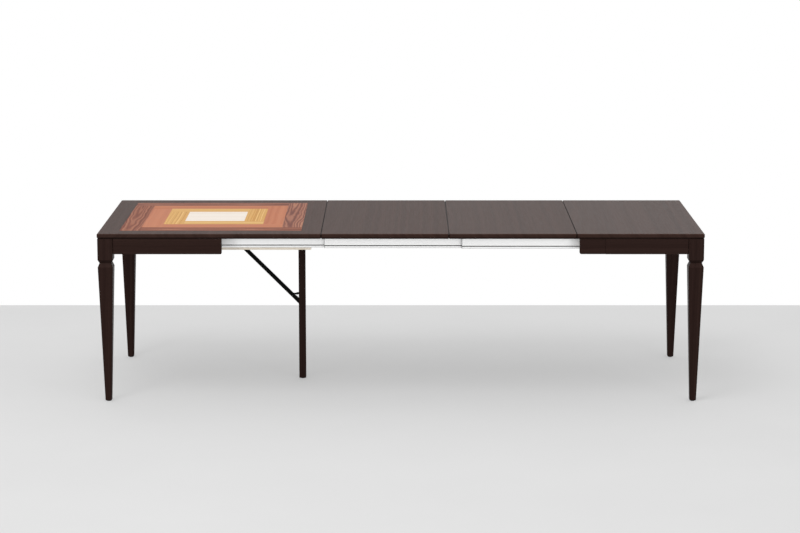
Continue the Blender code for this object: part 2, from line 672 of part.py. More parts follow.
def build_brace(black, steel):
    """The diagonal bar with a round upper end and an upright lower end, and its catch stud."""
    axis = joint_axis("brace_fold_axis", along(BRACE_PIVOT_X), 0.0, BRACE_PIVOT_Z)
    cosine = math.cos(BRACE_ANGLE)
    sine = math.sin(BRACE_ANGLE)
    half = BRACE_DEPTH / 2
    run = (BRACE_END - BRACE_PIVOT_X) / cosine
    slant = half * sine / cosine
    local = arc(0.0, 0.0, half, 90, 270, 2 * ARC_STEPS)
    local += [(run + slant, -half), (run - slant, half)]
    pivot_x = along(BRACE_PIVOT_X)
    outline = [(pivot_x + a * cosine + b * sine, BRACE_PIVOT_Z - a * sine + b * cosine) for a, b in local]
    side = BRACE_WIDTH / 2
    bar = add_piece("brace_bar", prism_mesh(outline, "Y", -side, side), black, axis)
    room = side + CUT_OVERRUN
    cut(
        bar,
        rod_mesh(pivot_x, BRACE_PIVOT_Z, BRACE_PIN_RADIUS + FIT_GAP, "Y", -room, room),
        rod_mesh(along(STUD_X), STUD_Z, STUD_RADIUS + FIT_GAP, "Y", -room, room),
    )
    stud = rod_mesh(along(STUD_X), STUD_Z, STUD_RADIUS, "Y", -LATCH_PIN_END, side)
    add_piece("catch_stud", stud, steel, axis, True)


def build_latch(black):
    """The latch hook: an eye on its pin, an arm over the catch stud and a short prong beyond it."""
    axis = joint_axis("latch_lift_axis", along(LATCH_X), 0.0, LATCH_Z)
    x = along(LATCH_X)
    half = HOOK_ARM / 2
    meet = 180 - math.degrees(math.asin(half / HOOK_EYE_RADIUS))
    prong_right = along(STUD_X) - STUD_RADIUS - HOOK_SIDE
    prong_left = prong_right - PRONG_WIDTH
    prong_low = STUD_Z + STUD_RADIUS - PRONG_DEPTH
    outline = arc(x, LATCH_Z, HOOK_EYE_RADIUS, meet, -meet, 4 * ARC_STEPS)
    outline += [(prong_right, LATCH_Z - half), (prong_right, prong_low)]
    outline += [(prong_left, prong_low), (prong_left, LATCH_Z + half)]
    hook = add_piece("latch_hook", prism_mesh(outline, "Y", -HOOK_FAR, -HOOK_NEAR), black, axis)
    hole_span = (-HOOK_FAR - CUT_OVERRUN, -HOOK_NEAR + CUT_OVERRUN)
    cut(hook, rod_mesh(x, LATCH_Z, LATCH_PIN_RADIUS + FIT_GAP, "Y", *hole_span))


def main():
    """Build the table from an empty scene."""
    for obj in list(bpy.data.objects):
        bpy.data.objects.remove(obj, do_unlink=True)

    dark_wood = finish("dark_wood", (58, 43, 38), 0.38)
    red_wood = finish("red_wood", (150, 98, 80), 0.40)
    salmon_wood = finish("salmon_wood", (200, 133, 104), 0.40)
    ochre_wood = finish("ochre_wood", (212, 168, 108), 0.40)
    cream_wood = finish("cream_wood", (242, 232, 221), 0.40)
    pale_wood = finish("pale_wood", (240, 226, 206), 0.55)
    aluminium = finish("aluminium", (230, 230, 231), 0.32, 1.0)
    black = finish("black_metal", (18, 17, 17), 0.45)
    steel = finish("steel", (150, 150, 152), 0.30, 1.0)
    plastic = finish("black_plastic", (22, 20, 19), 0.60)

    build_main_top(dark_wood, steel)
    build_inlay((red_wood, salmon_wood, ochre_wood, cream_wood))
    build_leaves(dark_wood, steel)
    build_half_frame("left", dark_wood, plastic)
    right_frame = joint_axis("right_frame_slide_axis", along(LENGTH - LEG_INNER), 0.0, FRAME_TOP)
    build_half_frame("right", dark_wood, plastic, right_frame)
    build_guides(aluminium, pale_wood, right_frame)
    build_hinge(
        "leg", SUPPORT_PIVOT_X, SUPPORT_PIVOT_Z, SUPPORT / 2, SUPPORT_PIN_RADIUS, BRACKET_LENGTH,
        steel, black, pale_wood,
    )
    build_hinge(
        "brace", BRACE_PIVOT_X, BRACE_PIVOT_Z, BRACE_WIDTH / 2, BRACE_PIN_RADIUS, BRACE_BRACKET_LENGTH,
        steel, black, pale_wood,
    )
    build_support_leg(dark_wood, plastic, black, steel)
    build_brace(black, steel)
    build_latch(black)


main()
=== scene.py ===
"""Looks of the square extending table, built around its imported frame.

Every piece is a surface worked out with numpy: an outline carried through levels, a profile carried round
a square, or a turned profile. Places come from the boxes of the frame's own nodes. Units are metres with
+Z up; X runs along the table, the front edge faces -Y and the floor is z = 0.
"""

import json
import logging
import math
from dataclasses import dataclass
from enum import Enum
from typing import ClassVar

import bmesh
import bpy
import numpy as np
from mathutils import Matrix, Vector
from mathutils.geometry import tessellate_polygon

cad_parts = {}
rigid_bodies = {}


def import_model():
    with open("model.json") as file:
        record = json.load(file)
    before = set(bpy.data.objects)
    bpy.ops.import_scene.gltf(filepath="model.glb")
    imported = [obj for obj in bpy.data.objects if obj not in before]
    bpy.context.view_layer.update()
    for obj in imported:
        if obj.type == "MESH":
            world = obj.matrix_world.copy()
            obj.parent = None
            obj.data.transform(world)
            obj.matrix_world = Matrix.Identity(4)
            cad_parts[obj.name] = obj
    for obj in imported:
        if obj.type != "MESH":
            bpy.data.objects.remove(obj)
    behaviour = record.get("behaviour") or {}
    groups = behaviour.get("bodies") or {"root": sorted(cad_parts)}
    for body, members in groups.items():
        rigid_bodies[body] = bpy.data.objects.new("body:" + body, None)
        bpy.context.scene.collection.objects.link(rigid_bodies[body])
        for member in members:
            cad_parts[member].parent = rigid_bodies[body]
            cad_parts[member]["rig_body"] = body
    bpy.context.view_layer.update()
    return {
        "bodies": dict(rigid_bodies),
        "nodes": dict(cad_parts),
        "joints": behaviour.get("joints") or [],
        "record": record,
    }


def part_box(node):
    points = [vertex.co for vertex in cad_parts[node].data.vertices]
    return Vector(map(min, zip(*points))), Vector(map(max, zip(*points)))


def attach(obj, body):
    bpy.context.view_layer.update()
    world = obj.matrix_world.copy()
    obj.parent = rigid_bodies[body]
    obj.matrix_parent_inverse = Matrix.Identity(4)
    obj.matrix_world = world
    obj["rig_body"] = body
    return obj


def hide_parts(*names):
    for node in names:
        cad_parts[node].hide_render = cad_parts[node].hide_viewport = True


LOG = logging.getLogger("table")

Array = np.ndarray
Pair = tuple[float, float]
Triple = tuple[float, float, float]
Colour = Triple
Stops = tuple[tuple[float, Colour], ...]
Box = tuple[Vector, Vector]
Socket = bpy.types.NodeSocket
Feed = dict[str | int, object]

ARC_STEPS = 4                 # straight runs in a rounded corner
CIRCLE_STEPS = 40             # straight runs in a full circle
QUARTER = math.pi / 2         # a quarter turn
NO_LENGTH = 1e-12             # vectors shorter than this have no direction
NO_TURN = 1e-6                # corners that turn less than this are straight
WELD = 1e-6                   # points closer than this are one point
SHARP = math.radians(34.0)    # edges that turn more than this stay crisp
FIT_GAP = 0.0003              # air between faces that meet
BATTEN_EASE = 0.0012          # radius of the arrises of bearers, spacers and cross rails
BRACE_ANGLE = math.radians(45.0)    # how steeply the brace stands
BOARD_STEP = 1.37             # sets the grain of one board apart from the next one's


class Axis(Enum):
    """A direction of the table; the value is its place in (x, y, z)."""

    X = 0
    Y = 1
    Z = 2

    @property
    def others(self) -> tuple[int, ...]:
        """Places in (x, y, z) of the two directions across this one."""
        return tuple(place for place in range(3) if place != self.value)


class Side(Enum):
    """Front or back of the table; the value is the sign of Y there."""

    FRONT = -1
    BACK = 1

    @property
    def word(self) -> str:
        """The side's name as the nodes spell it."""
        return self.name.lower()


class End(Enum):
    """Left or right end of the table; the value is the sign of X there."""

    LEFT = -1
    RIGHT = 1

    @property
    def word(self) -> str:
        """The end's name as the nodes spell it."""
        return self.name.lower()


# Outlines

def unit(vectors: Array) -> Array:
    """Scale vectors to length one, and leave vectors of no length as they are.

    Args:
        vectors: rows of two numbers.

    Returns:
        The rows divided by their lengths.
    """
    lengths = np.linalg.norm(vectors, axis=-1, keepdims=True)
    return vectors / np.where(lengths < NO_LENGTH, 1.0, lengths)


def fillets(points: Array, before: Array, after: Array, radii: Array, steps: int) -> Array:
    """Round corners with arcs that touch both neighbouring edges.

    With u and v the unit directions to the neighbours and w half the angle between them, the arc's centre
    lies on the bisector at radius / sin(w) and its ends lie on the edges at radius / tan(w). The points
    between are spaced evenly in angle.

    Args:
        points: the corners, (k, 2).
        before: the neighbour before each corner, (k, 2).
        after: the neighbour after each corner, (k, 2).
        radii: one radius per corner.
        steps: straight runs in each arc.

    Returns:
        The arcs' points, (k, steps + 1, 2).
    """
    u = unit(before - points)
    v = unit(after - points)
    angle = np.arccos(np.clip((u * v).sum(-1), -1.0, 1.0))[:, None]
    reach = radii[:, None] / np.tan(angle / 2)
    centre = points + unit(u + v) * radii[:, None] / np.sin(angle / 2)
    first = points + u * reach - centre
    last = points + v * reach - centre
    turn = (math.pi - angle)[..., None]
    share = np.linspace(0.0, 1.0, steps + 1)[None, :, None]
    is_straight = turn < NO_TURN
    sine = np.where(is_straight, 1.0, np.sin(turn))
    start_weight = np.where(is_straight, 1.0 - share, np.sin((1.0 - share) * turn) / sine)
    stop_weight = np.where(is_straight, share, np.sin(share * turn) / sine)
    return centre[:, None] + start_weight * first[:, None] + stop_weight * last[:, None]


def rounded_loop(corners: Array, radii: float | Array, steps: int = ARC_STEPS) -> Array:
    """A closed outline with every corner turned into an arc, as fillets() says.

    Args:
        corners: the corners in order, (k, 2).
        radii: one radius for all corners, or one each.
        steps: straight runs in each arc.

    Returns:
        The outline's points, (k * (steps + 1), 2).
    """
    spread = np.broadcast_to(np.asarray(radii, float), (len(corners),))
    arcs = fillets(corners, np.roll(corners, 1, 0), np.roll(corners, -1, 0), spread, steps)
    return arcs.reshape(-1, 2)


def rounded_path(points: Array, radii: Array, steps: int = ARC_STEPS) -> Array:
    """An open path with its inner corners turned into arcs, as fillets() says.

    Args:
        points: the path's points, (k, 2).
        radii: one radius for each inner point.
        steps: straight runs in each arc.

    Returns:
        The path's points, both ends included.
    """
    arcs = fillets(points[1:-1], points[:-2], points[2:], radii, steps)
    return np.concatenate([points[:1], arcs.reshape(-1, 2), points[-1:]])


def inset_loop(corners: Array, distance: float) -> Array:
    """Draw a closed outline in by a distance.

    A corner moves by distance * (n + m) / (1 + n.m), with n and m its edges' inward normals.

    Args:
        corners: the corners in order, (k, 2).
        distance: how far each edge moves inwards.

    Returns:
        The new corners, (k, 2).
    """
    following = np.roll(corners, -1, 0)
    area = (corners[:, 0] * following[:, 1] - corners[:, 1] * following[:, 0]).sum() / 2
    edges = unit(following - corners)
    normals = np.stack([-edges[:, 1], edges[:, 0]], -1) * np.sign(area)
    earlier = np.roll(normals, 1, 0)
    meet = 1.0 + (normals * earlier).sum(-1, keepdims=True)
    return corners + distance * (normals + earlier) / meet


def rectangle(low: Pair, high: Pair) -> Array:
    """Corners of an upright rectangle, anticlockwise from its lowest corner."""
    return np.array([(low[0], low[1]), (high[0], low[1]), (high[0], high[1]), (low[0], high[1])], float)


def circle(centre: Pair, radius: float, steps: int = CIRCLE_STEPS) -> Array:
    """A closed circle: centre + radius * (cos t, sin t), for t once round."""
    turn = np.linspace(0.0, 2 * math.pi, steps, endpoint=False)
    return np.asarray(centre) + radius * np.stack([np.cos(turn), np.sin(turn)], -1)


def centre_across(low: Vector, high: Vector, axis: Axis) -> Pair:
    """Middle of a box in the two directions across an axis."""
    first, second = axis.others
    return (low[first] + high[first]) / 2, (low[second] + high[second]) / 2


def bore(pin: str) -> Array:
    """A circle in X and Z with room for the round pin of a node, which lies along Y."""
    low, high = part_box(pin)
    return circle(centre_across(low, high, Axis.Y), (high.x - low.x) / 2 + FIT_GAP)


def arris_inset(radius: float, distance: float | Array) -> Array:
    """How far a rounded arris draws in at a distance from the face that it runs out on.

    That is radius - sqrt(radius^2 - (radius - distance)^2) inside the rounding, and nothing past it.

    Args:
        radius: the rounding's radius.
        distance: distance from the face.

    Returns:
        The inset.
    """
    left = np.maximum(radius - distance, 0.0)
    return radius - np.sqrt(np.maximum(np.square(radius) - np.square(left), 0.0))


def arris_steps(radius: float, steps: int = ARC_STEPS) -> Array:
    """Distances from a face that space a rounded arris evenly: radius * (1 - cos t), t a quarter turn."""
    return radius * (1.0 - np.cos(np.linspace(0.0, QUARTER, steps + 1)))


def eased_span(span: Pair, ease: float, steps: int = ARC_STEPS) -> tuple[Array, Array]:
    """Levels along a span with a rounded arris at both ends, as arris_inset() says.

    Args:
        span: first and last place.
        ease: radius of the two arrises.
        steps: straight runs in each arris.

    Returns:
        The levels in order, and how far the outline draws in at each of them.
    """
    drops = arris_steps(ease, steps)
    insets = arris_inset(ease, drops)
    levels = np.concatenate([span[0] + drops, (span[1] - drops)[::-1]])
    return levels, np.concatenate([insets, insets[::-1]])


# Surfaces

@dataclass
class Surface:
    """Points and faces of one or more closed shells."""

    points: Array
    faces: list[list[int]]


def join(*shells: Surface) -> Surface:
    """Several surfaces as separate shells of one mesh.

    Args:
        shells: the surfaces.

    Returns:
        Their points and faces, one surface after the other.
    """
    starts = np.cumsum([0, *(len(shell.points) for shell in shells)]).tolist()
    faces = [
        [index + start for index in face]
        for start, shell in zip(starts, shells)
        for face in shell.faces
    ]
    return Surface(np.concatenate([shell.points for shell in shells]), faces)


def wall_faces(rows: int, columns: int) -> Array:
    """Quads between neighbouring rings of a grid whose columns close on themselves.

    Args:
        rows: number of rings.
        columns: points in each ring.

    Returns:
        Point numbers of the quads, (q, 4).
    """
    first = np.arange(rows - 1)[:, None] * columns
    here = first + np.arange(columns)[None, :]
    beside = first + (np.arange(columns)[None, :] + 1) % columns
    return np.stack([here, beside, beside + columns, here + columns], -1).reshape(-1, 4)


def stand(pairs: Array, levels: Array, axis: Axis) -> Array:
    """Stand flat outlines at their levels along an axis.

    Args:
        pairs: outlines in the other two axes, in x, y, z order, (m, n, 2).
        levels: one place along the axis for each outline, (m,).
        axis: the direction of the levels.

    Returns:
        Points in space, (m * n, 3).
    """
    columns = [pairs[..., 0], pairs[..., 1]]
    columns.insert(axis.value, np.broadcast_to(levels[:, None], pairs.shape[:2]))
    return np.stack(columns, -1).reshape(-1, 3)


def carry(outlines: Array, levels: Array, axis: Axis, holes: tuple[Array, ...] = ()) -> Surface:
    """Carry a flat outline, which may change on the way, through levels along an axis.

    The surface is S(i, j) = outline i's point j at level i. Straight holes run from the first level to the
    last, and both ends are closed around them.

    Args:
        outlines: (m, n, 2), pairs in the other two axes.
        levels: (m,) places along the axis.
        axis: direction of the levels.
        holes: closed loops of pairs.

    Returns:
        The closed surface.
    """
    rows, columns = outlines.shape[:2]
    points = [stand(outlines, levels, axis)]
    faces = wall_faces(rows, columns).tolist()
    low_loops = [np.arange(columns)]
    high_loops = [np.arange(columns) + (rows - 1) * columns]
    count = rows * columns
    for loop in holes:
        size = len(loop)
        points.append(stand(np.stack([loop, loop]), levels[[0, -1]], axis))
        faces += (wall_faces(2, size) + count).tolist()
        low_loops.append(np.arange(size) + count)
        high_loops.append(np.arange(size) + count + size)
        count += 2 * size
    for loops, outline in ((low_loops, outlines[0]), (high_loops, outlines[-1])):
        numbers = np.concatenate(loops)
        if holes:
            flat = [loop.tolist() for loop in (outline, *holes)]
            faces += numbers[np.array(tessellate_polygon(flat))].tolist()
        else:
            faces.append(numbers.tolist())
    return Surface(np.concatenate(points), faces)


def prism(
    corners: Array, axis: Axis, span: Pair, ease: float, radii: float | Array = 0.0,
    holes: tuple[Array, ...] = (), steps: int = ARC_STEPS,
) -> Surface:
    """Carry an outline along an axis, with its two end arrises rounded by a quarter circle.

    Args:
        corners: the outline's corners in the other two axes, (k, 2).
        axis: direction of the carry.
        span: first and last place along the axis.
        ease: radius of the rounded end arrises.
        radii: radius of the outline's corners, one for all or one each.
        holes: closed loops that run straight through.
        steps: straight runs in each rounding.

    Returns:
        The closed surface.
    """
    levels, insets = eased_span(span, ease, steps)
    outlines = np.stack([rounded_loop(inset_loop(corners, inset), radii, steps) for inset in insets])
    return carry(outlines, levels, axis, holes)


def block(low: Vector, high: Vector, ease: float, steps: int = ARC_STEPS) -> Surface:
    """A straight block between two corners, with all its arrises rounded."""
    return prism(rectangle(low[:2], high[:2]), Axis.Z, (low[2], high[2]), ease, ease, steps=steps)


def turned(profile: Array, centre: Pair, axis: Axis) -> Surface:
    """Turn a profile about an axis: S(i, t) = centre + radius i * (cos t, sin t) at level i.

    Args:
        profile: (radius, level) pairs from one end to the other, (m, 2).
        centre: where the axis crosses the other two axes.
        axis: direction of the axis.

    Returns:
        The closed surface.
    """
    ring = circle((0.0, 0.0), 1.0)
    outlines = np.asarray(centre) + profile[:, :1, None] * ring[None]
    return carry(outlines, profile[:, 1], axis)


def round_bar(low: Vector, high: Vector, axis: Axis, ease: float) -> Surface:
    """A round bar that fills a box along an axis, turned, with rounded end arrises.

    Args:
        low: lowest corner of the box.
        high: highest corner of the box.
        axis: direction of the bar.
        ease: radius of the end arrises.

    Returns:
        The closed surface.
    """
    first = axis.others[0]
    levels, insets = eased_span((low[axis.value], high[axis.value]), ease)
    radii = (high[first] - low[first]) / 2 - insets
    return turned(np.stack([radii, levels], -1), centre_across(low, high, axis), axis)


# Finishes

def linear(display: Colour) -> tuple[float, float, float, float]:
    """Turn 8-bit display levels into linear light with full opacity.

    The display curve is a straight foot, share / slope, and above it ((share + lift) / (1 + lift))^power.

    Args:
        display: red, green and blue from 0 to 255.

    Returns:
        Red, green, blue and alpha from 0 to 1.
    """
    full, foot, slope, lift, power = 255, 0.04045, 12.92, 0.055, 2.4
    share = np.asarray(display) / full
    light = np.where(share <= foot, share / slope, ((share + lift) / (1.0 + lift)) ** power)
    return (*light.tolist(), 1.0)


class Bench:
    """Adds and joins the nodes of one tree."""

    MIX_FIRST: int = 6     # place of the first colour among a mix node's inputs
    MIX_SECOND: int = 7    # place of its second colour
    MIX_RESULT: int = 2    # place of the mixed colour among its outputs

    def __init__(self, tree: bpy.types.NodeTree) -> None:
        """Start with an empty tree.

        Args:
            tree: nodes of a material or of the surroundings.
        """
        self.tree = tree
        tree.nodes.clear()

    def add(self, kind: str, inputs: Feed | None = None, **settings: object) -> bpy.types.Node:
        """Add a node, set its properties and feed its inputs.

        Args:
            kind: Blender's name of the node type.
            inputs: values or sockets by input name or number.
            settings: properties of the node.

        Returns:
            The new node.
        """
        node = self.tree.nodes.new(kind)
        for name, value in settings.items():
            setattr(node, name, value)
        self.feed(node, inputs or {})
        return node

    def feed(self, node: bpy.types.Node, inputs: Feed) -> None:
        """Set or link a node's inputs.

        Args:
            node: the node.
            inputs: values or sockets by input name or number.
        """
        for name, value in inputs.items():
            if isinstance(value, Socket):
                self.tree.links.new(value, node.inputs[name])
            else:
                node.inputs[name].default_value = value

    def attribute(self, name: str, output: str = "Fac") -> Socket:
        """What the mesh stores for each of its points under a name."""
        return self.add("ShaderNodeAttribute", attribute_name=name).outputs[output]

    def place(self) -> Socket:
        """Where a point lies on the table."""
        return self.add("ShaderNodeTexCoord").outputs["Object"]

    def work(self, operation: str, first: Socket | float, second: Socket | float = 0.0) -> Socket:
        """The result of a sum on one or two numbers."""
        return self.add("ShaderNodeMath", {0: first, 1: second}, operation=operation).outputs[0]

    def noise(
        self, vector: Socket, lumps: Triple, seed: Socket | float, detail: float, rough: float = 0.55,
    ) -> Socket:
        """Smooth noise from 0 to 1 over a vector.

        Args:
            vector: the place that it is read at.
            lumps: lumps to a unit along each axis.
            seed: sets one noise apart from another.
            detail: how many finer layers lie on it.
            rough: strength of each finer layer.

        Returns:
            The noise.
        """
        scaled = self.add("ShaderNodeVectorMath", {0: vector, 1: lumps}, operation="MULTIPLY").outputs[0]
        inputs = {"Vector": scaled, "W": seed, "Scale": 1.0, "Detail": detail, "Roughness": rough}
        return self.add("ShaderNodeTexNoise", inputs, noise_dimensions="4D").outputs[0]

    def between(self, value: Socket, span: Pair, target: Pair = (0.0, 1.0)) -> Socket:
        """A number carried from one span to another, and held inside it."""
        inputs = dict(enumerate((value, *span, *target)))
        return self.add("ShaderNodeMapRange", inputs).outputs[0]

    def ramp(self, value: Socket, stops: Stops) -> Socket:
        """A colour read from a row of stops, and mixed between them.

        Args:
            value: where it is read, from 0 to 1.
            stops: places from 0 to 1 with their display colours.

        Returns:
            The colour.
        """
        node = self.add("ShaderNodeValToRGB", {0: value})
        elements = node.color_ramp.elements
        for place, _ in stops[len(elements):]:
            elements.new(place)
        for element, (place, colour) in zip(elements, stops):
            element.position = place
            element.color = linear(colour)
        return node.outputs[0]

    def mix(
        self, share: Socket | float, first: Socket | tuple, second: Socket | tuple, blend: str = "MIX",
    ) -> Socket:
        """Two colours mixed or blended by a share.

        Args:
            share: how much of the blend shows.
            first: the first colour.
            second: the second colour.
            blend: Blender's name of the way they are blended.

        Returns:
            The colour.
        """
        node = self.add("ShaderNodeMix", data_type="RGBA", blend_type=blend)
        self.feed(node, {0: share, self.MIX_FIRST: first, self.MIX_SECOND: second})
        return node.outputs[self.MIX_RESULT]

    def shade(self, colour: Socket | tuple, tone: Socket | float) -> Socket:
        """A colour made darker or lighter by a tone, where 1 leaves it as it is."""
        grey = self.add("ShaderNodeCombineColor", {0: tone, 1: tone, 2: tone}).outputs[0]
        return self.mix(1.0, colour, grey, "MULTIPLY")

    def bump(self, height: Socket, strength: float, depth: float) -> Socket:
        """A surface normal that follows a height, in metres at full strength."""
        inputs = {"Height": height, "Strength": strength, "Distance": depth}
        return self.add("ShaderNodeBump", inputs).outputs[0]

    def seen(self) -> Socket:
        """Tell rays that are seen, mirrored or let through from those that only carry light.

        Returns:
            1 for the first kind and 0 for the other.
        """
        path = self.add("ShaderNodeLightPath").outputs
        direct = self.work("MAXIMUM", path["Is Camera Ray"], path["Is Glossy Ray"])
        return self.work("MAXIMUM", direct, path["Is Transmission Ray"])


class FinishBench(Bench):
    """The nodes of one new material around its main shader."""

    def __init__(self, name: str) -> None:
        """Start an empty material with its shader and output.

        Args:
            name: the material's name.
        """
        self.material = bpy.data.materials.new(name)
        self.material.use_nodes = True
        super().__init__(self.material.node_tree)
        self.shader = self.add("ShaderNodeBsdfPrincipled")
        self.add("ShaderNodeOutputMaterial", {"Surface": self.shader.outputs[0]})


@dataclass(frozen=True)
class Finish:
    """What every finish has: the slot that it belongs to, its role there, its roughness and its gloss."""

    slot: str
    role: str
    roughness: float
    gloss: float

    ROUGH_SPAN: ClassVar[Pair] = (0.2, 0.8)    # share of a noise that the roughness follows

    def material(self) -> bpy.types.Material:
        """Find the finish's one material, or make it on first use.

        Returns:
            The material.
        """
        name = f"{self.slot}_{self.role}"
        made = bpy.data.materials.get(name)
        if made is None:
            bench = FinishBench(name)
            bench.feed(bench.shader, {"Specular IOR Level": self.gloss, **self.inputs(bench)})
            made = bench.material
        return made

    def inputs(self, bench: Bench) -> Feed:
        """Build the nodes; each kind of finish has its own way.

        Args:
            bench: the empty material.

        Returns:
            What the main shader's inputs take, by name.
        """
        raise NotImplementedError

    def uneven(self, bench: Bench, noise: Socket, spread: float) -> Socket:
        """The roughness, lower and higher by a spread as a noise goes."""
        return bench.between(noise, self.ROUGH_SPAN, (self.roughness - spread, self.roughness + spread))


@dataclass(frozen=True)
class Wood(Finish):
    """Sawn wood or veneer: growth rings cut along the board, fine fibres and pores.

    A ring's distance from the heart is sqrt((across + heart)^2 + (slope * along)^2), bent by slow noise.
    Noise over that distance gives the bands of early and late wood, and an even share of them comes from a
    sine whose phase wanders with that noise. A heart near the board's middle and a steep slope draw arches,
    and a far heart draws straight stripes. Faces that look down get painted shade, drawn darker by up to
    depth, and the gloss differs a little from board to board.
    """

    stops: Stops
    pore: Colour
    rings: float
    heart: float
    slope: float
    warp: float
    fibre: float
    pores: float
    relief: float
    # how much darker the painted shade draws faces that look down
    depth: float = 0.0
    even: float = 0.0

    BEND_LUMPS: ClassVar[Triple] = (3.5, 14.0, 14.0)
    FIBRE_LUMPS: ClassVar[Triple] = (7.0, 420.0, 420.0)
    PORE_LUMPS: ClassVar[Triple] = (45.0, 1500.0, 1500.0)
    BAND_LUMPS: ClassVar[Triple] = (1.0, 1.0, 1.0)
    BAND_SPAN: ClassVar[Pair] = (0.28, 0.72)      # what the noise of the bands mostly stays between
    FIBRE_SPAN: ClassVar[Pair] = (0.25, 0.75)
    PORE_SPAN: ClassVar[Pair] = (0.56, 0.68)      # only the peaks of the noise are pores
    LEAN: ClassVar[float] = 0.7                   # how the rings lean through the board's thickness
    APEX_STEP: ClassVar[float] = 0.37             # moves the arches along from board to board
    GLOSS_STEP: ClassVar[float] = 0.61            # changes the gloss from board to board
    GLOSS_SPREAD: ClassVar[float] = 0.12
    ROUGH_SPREAD: ClassVar[float] = 0.05
    FIBRE_HEIGHT: ClassVar[float] = 0.5           # height of the fibres beside the depth of the pores
    RELIEF_DEPTH: ClassVar[float] = 0.0004

    def inputs(self, bench: Bench) -> Feed:
        """Rings, fibres and pores over the piece's own grain coordinates.

        Args:
            bench: the empty material.

        Returns:
            What the main shader's inputs take, by name.
        """
        grain = bench.attribute("grain", "Vector")
        board = bench.attribute("board")
        fibres = bench.noise(grain, self.FIBRE_LUMPS, board, detail=4.0, rough=0.6)
        specks = bench.noise(grain, self.PORE_LUMPS, board, detail=2.0, rough=0.5)
        pore = bench.between(specks, self.PORE_SPAN)
        colour = bench.ramp(self.bands(bench, grain, board), self.stops)
        streaks = bench.between(fibres, self.FIBRE_SPAN, (1.0 - self.fibre, 1.0 + self.fibre))
        colour = bench.shade(colour, streaks)
        colour = bench.mix(bench.work("MULTIPLY", pore, self.pores), colour, linear(self.pore))
        # Painted shade: faces that look down are drawn darker, by up to depth.
        stain = bench.between(bench.attribute("under"), (0.0, 1.0), (1.0, 1.0 - self.depth))
        height = bench.work("SUBTRACT", bench.work("MULTIPLY", fibres, self.FIBRE_HEIGHT), pore)
        lot = bench.work("MULTIPLY", self.lot(bench, board, self.GLOSS_STEP), self.GLOSS_SPREAD)
        return {
            "Base Color": bench.shade(colour, stain),
            "Roughness": bench.work("ADD", self.uneven(bench, fibres, self.ROUGH_SPREAD), lot),
            "Normal": bench.bump(height, self.relief, self.RELIEF_DEPTH),
        }

    def bands(self, bench: Bench, grain: Socket, board: Socket) -> Socket:
        """Early and late wood, from 0 to 1, by the class's formula.

        Args:
            bench: the material.
            grain: place in the board, along the fibres first.
            board: the board's number.

        Returns:
            The bands.
        """
        parts = bench.add("ShaderNodeSeparateXYZ", {0: grain}).outputs
        bend = bench.noise(grain, self.BEND_LUMPS, board, detail=2.0)
        shift = bench.work("MULTIPLY", bench.work("SUBTRACT", bend, 0.5), self.warp)
        across = bench.work("ADD", bench.work("ADD", parts[1], shift), self.heart)
        apex = self.lot(bench, board, self.APEX_STEP)
        along = bench.work("MULTIPLY", bench.work("ADD", parts[0], apex), self.slope)
        square = bench.work("ADD", bench.work("POWER", across, 2.0), bench.work("POWER", along, 2.0))
        lean = bench.work("MULTIPLY", parts[2], self.LEAN)
        distance = bench.work("ADD", bench.work("SQRT", square), lean)
        count = bench.work("MULTIPLY", distance, self.rings)
        line = bench.add("ShaderNodeCombineXYZ", {0: count}).outputs[0]
        ring = bench.noise(line, self.BAND_LUMPS, board, detail=2.0, rough=0.6)
        phase = bench.work("MULTIPLY", bench.work("ADD", count, ring), 2 * math.pi)
        wave = bench.between(bench.work("SINE", phase), (-1.0, 1.0), self.BAND_SPAN)
        apart = bench.work("MULTIPLY", bench.work("SUBTRACT", wave, ring), self.even)
        return bench.between(bench.work("ADD", ring, apart), self.BAND_SPAN)

    @staticmethod
    def lot(bench: Bench, board: Socket, step: float) -> Socket:
        """A number from -0.5 to 0.5 that jumps from board to board."""
        return bench.work("SUBTRACT", bench.work("FRACT", bench.work("MULTIPLY", board, step)), 0.5)


@dataclass(frozen=True)
class DrawnMetal(Finish):
    """Bare metal with fine lines along X from the die, or an even frost where the lines are round."""

    colour: Colour
    lines: Triple

    CLOUD_LUMPS: ClassVar[Triple] = (6.0, 25.0, 25.0)
    TONE_SPAN: ClassVar[Pair] = (0.3, 0.7)        # share of a noise that the tone follows
    CLOUD_TONES: ClassVar[Pair] = (0.97, 1.0)
    LINE_TONES: ClassVar[Pair] = (0.98, 1.0)
    ROUGH_SPREAD: ClassVar[float] = 0.07
    RELIEF: ClassVar[float] = 0.05
    RELIEF_DEPTH: ClassVar[float] = 0.0001

    def inputs(self, bench: Bench) -> Feed:
        """Lines in tone, roughness and height.

        Args:
            bench: the empty material.

        Returns:
            What the main shader's inputs take, by name.
        """
        place = bench.place()
        streak = bench.noise(place, self.lines, seed=1.0, detail=3.0, rough=0.6)
        cloud = bench.noise(place, self.CLOUD_LUMPS, seed=2.0, detail=2.0)
        clouds = bench.between(cloud, self.TONE_SPAN, self.CLOUD_TONES)
        streaks = bench.between(streak, self.TONE_SPAN, self.LINE_TONES)
        return {
            "Base Color": bench.shade(linear(self.colour), bench.work("MULTIPLY", clouds, streaks)),
            "Metallic": 1.0,
            "Roughness": self.uneven(bench, streak, self.ROUGH_SPREAD),
            "Normal": bench.bump(streak, self.RELIEF, self.RELIEF_DEPTH),
        }


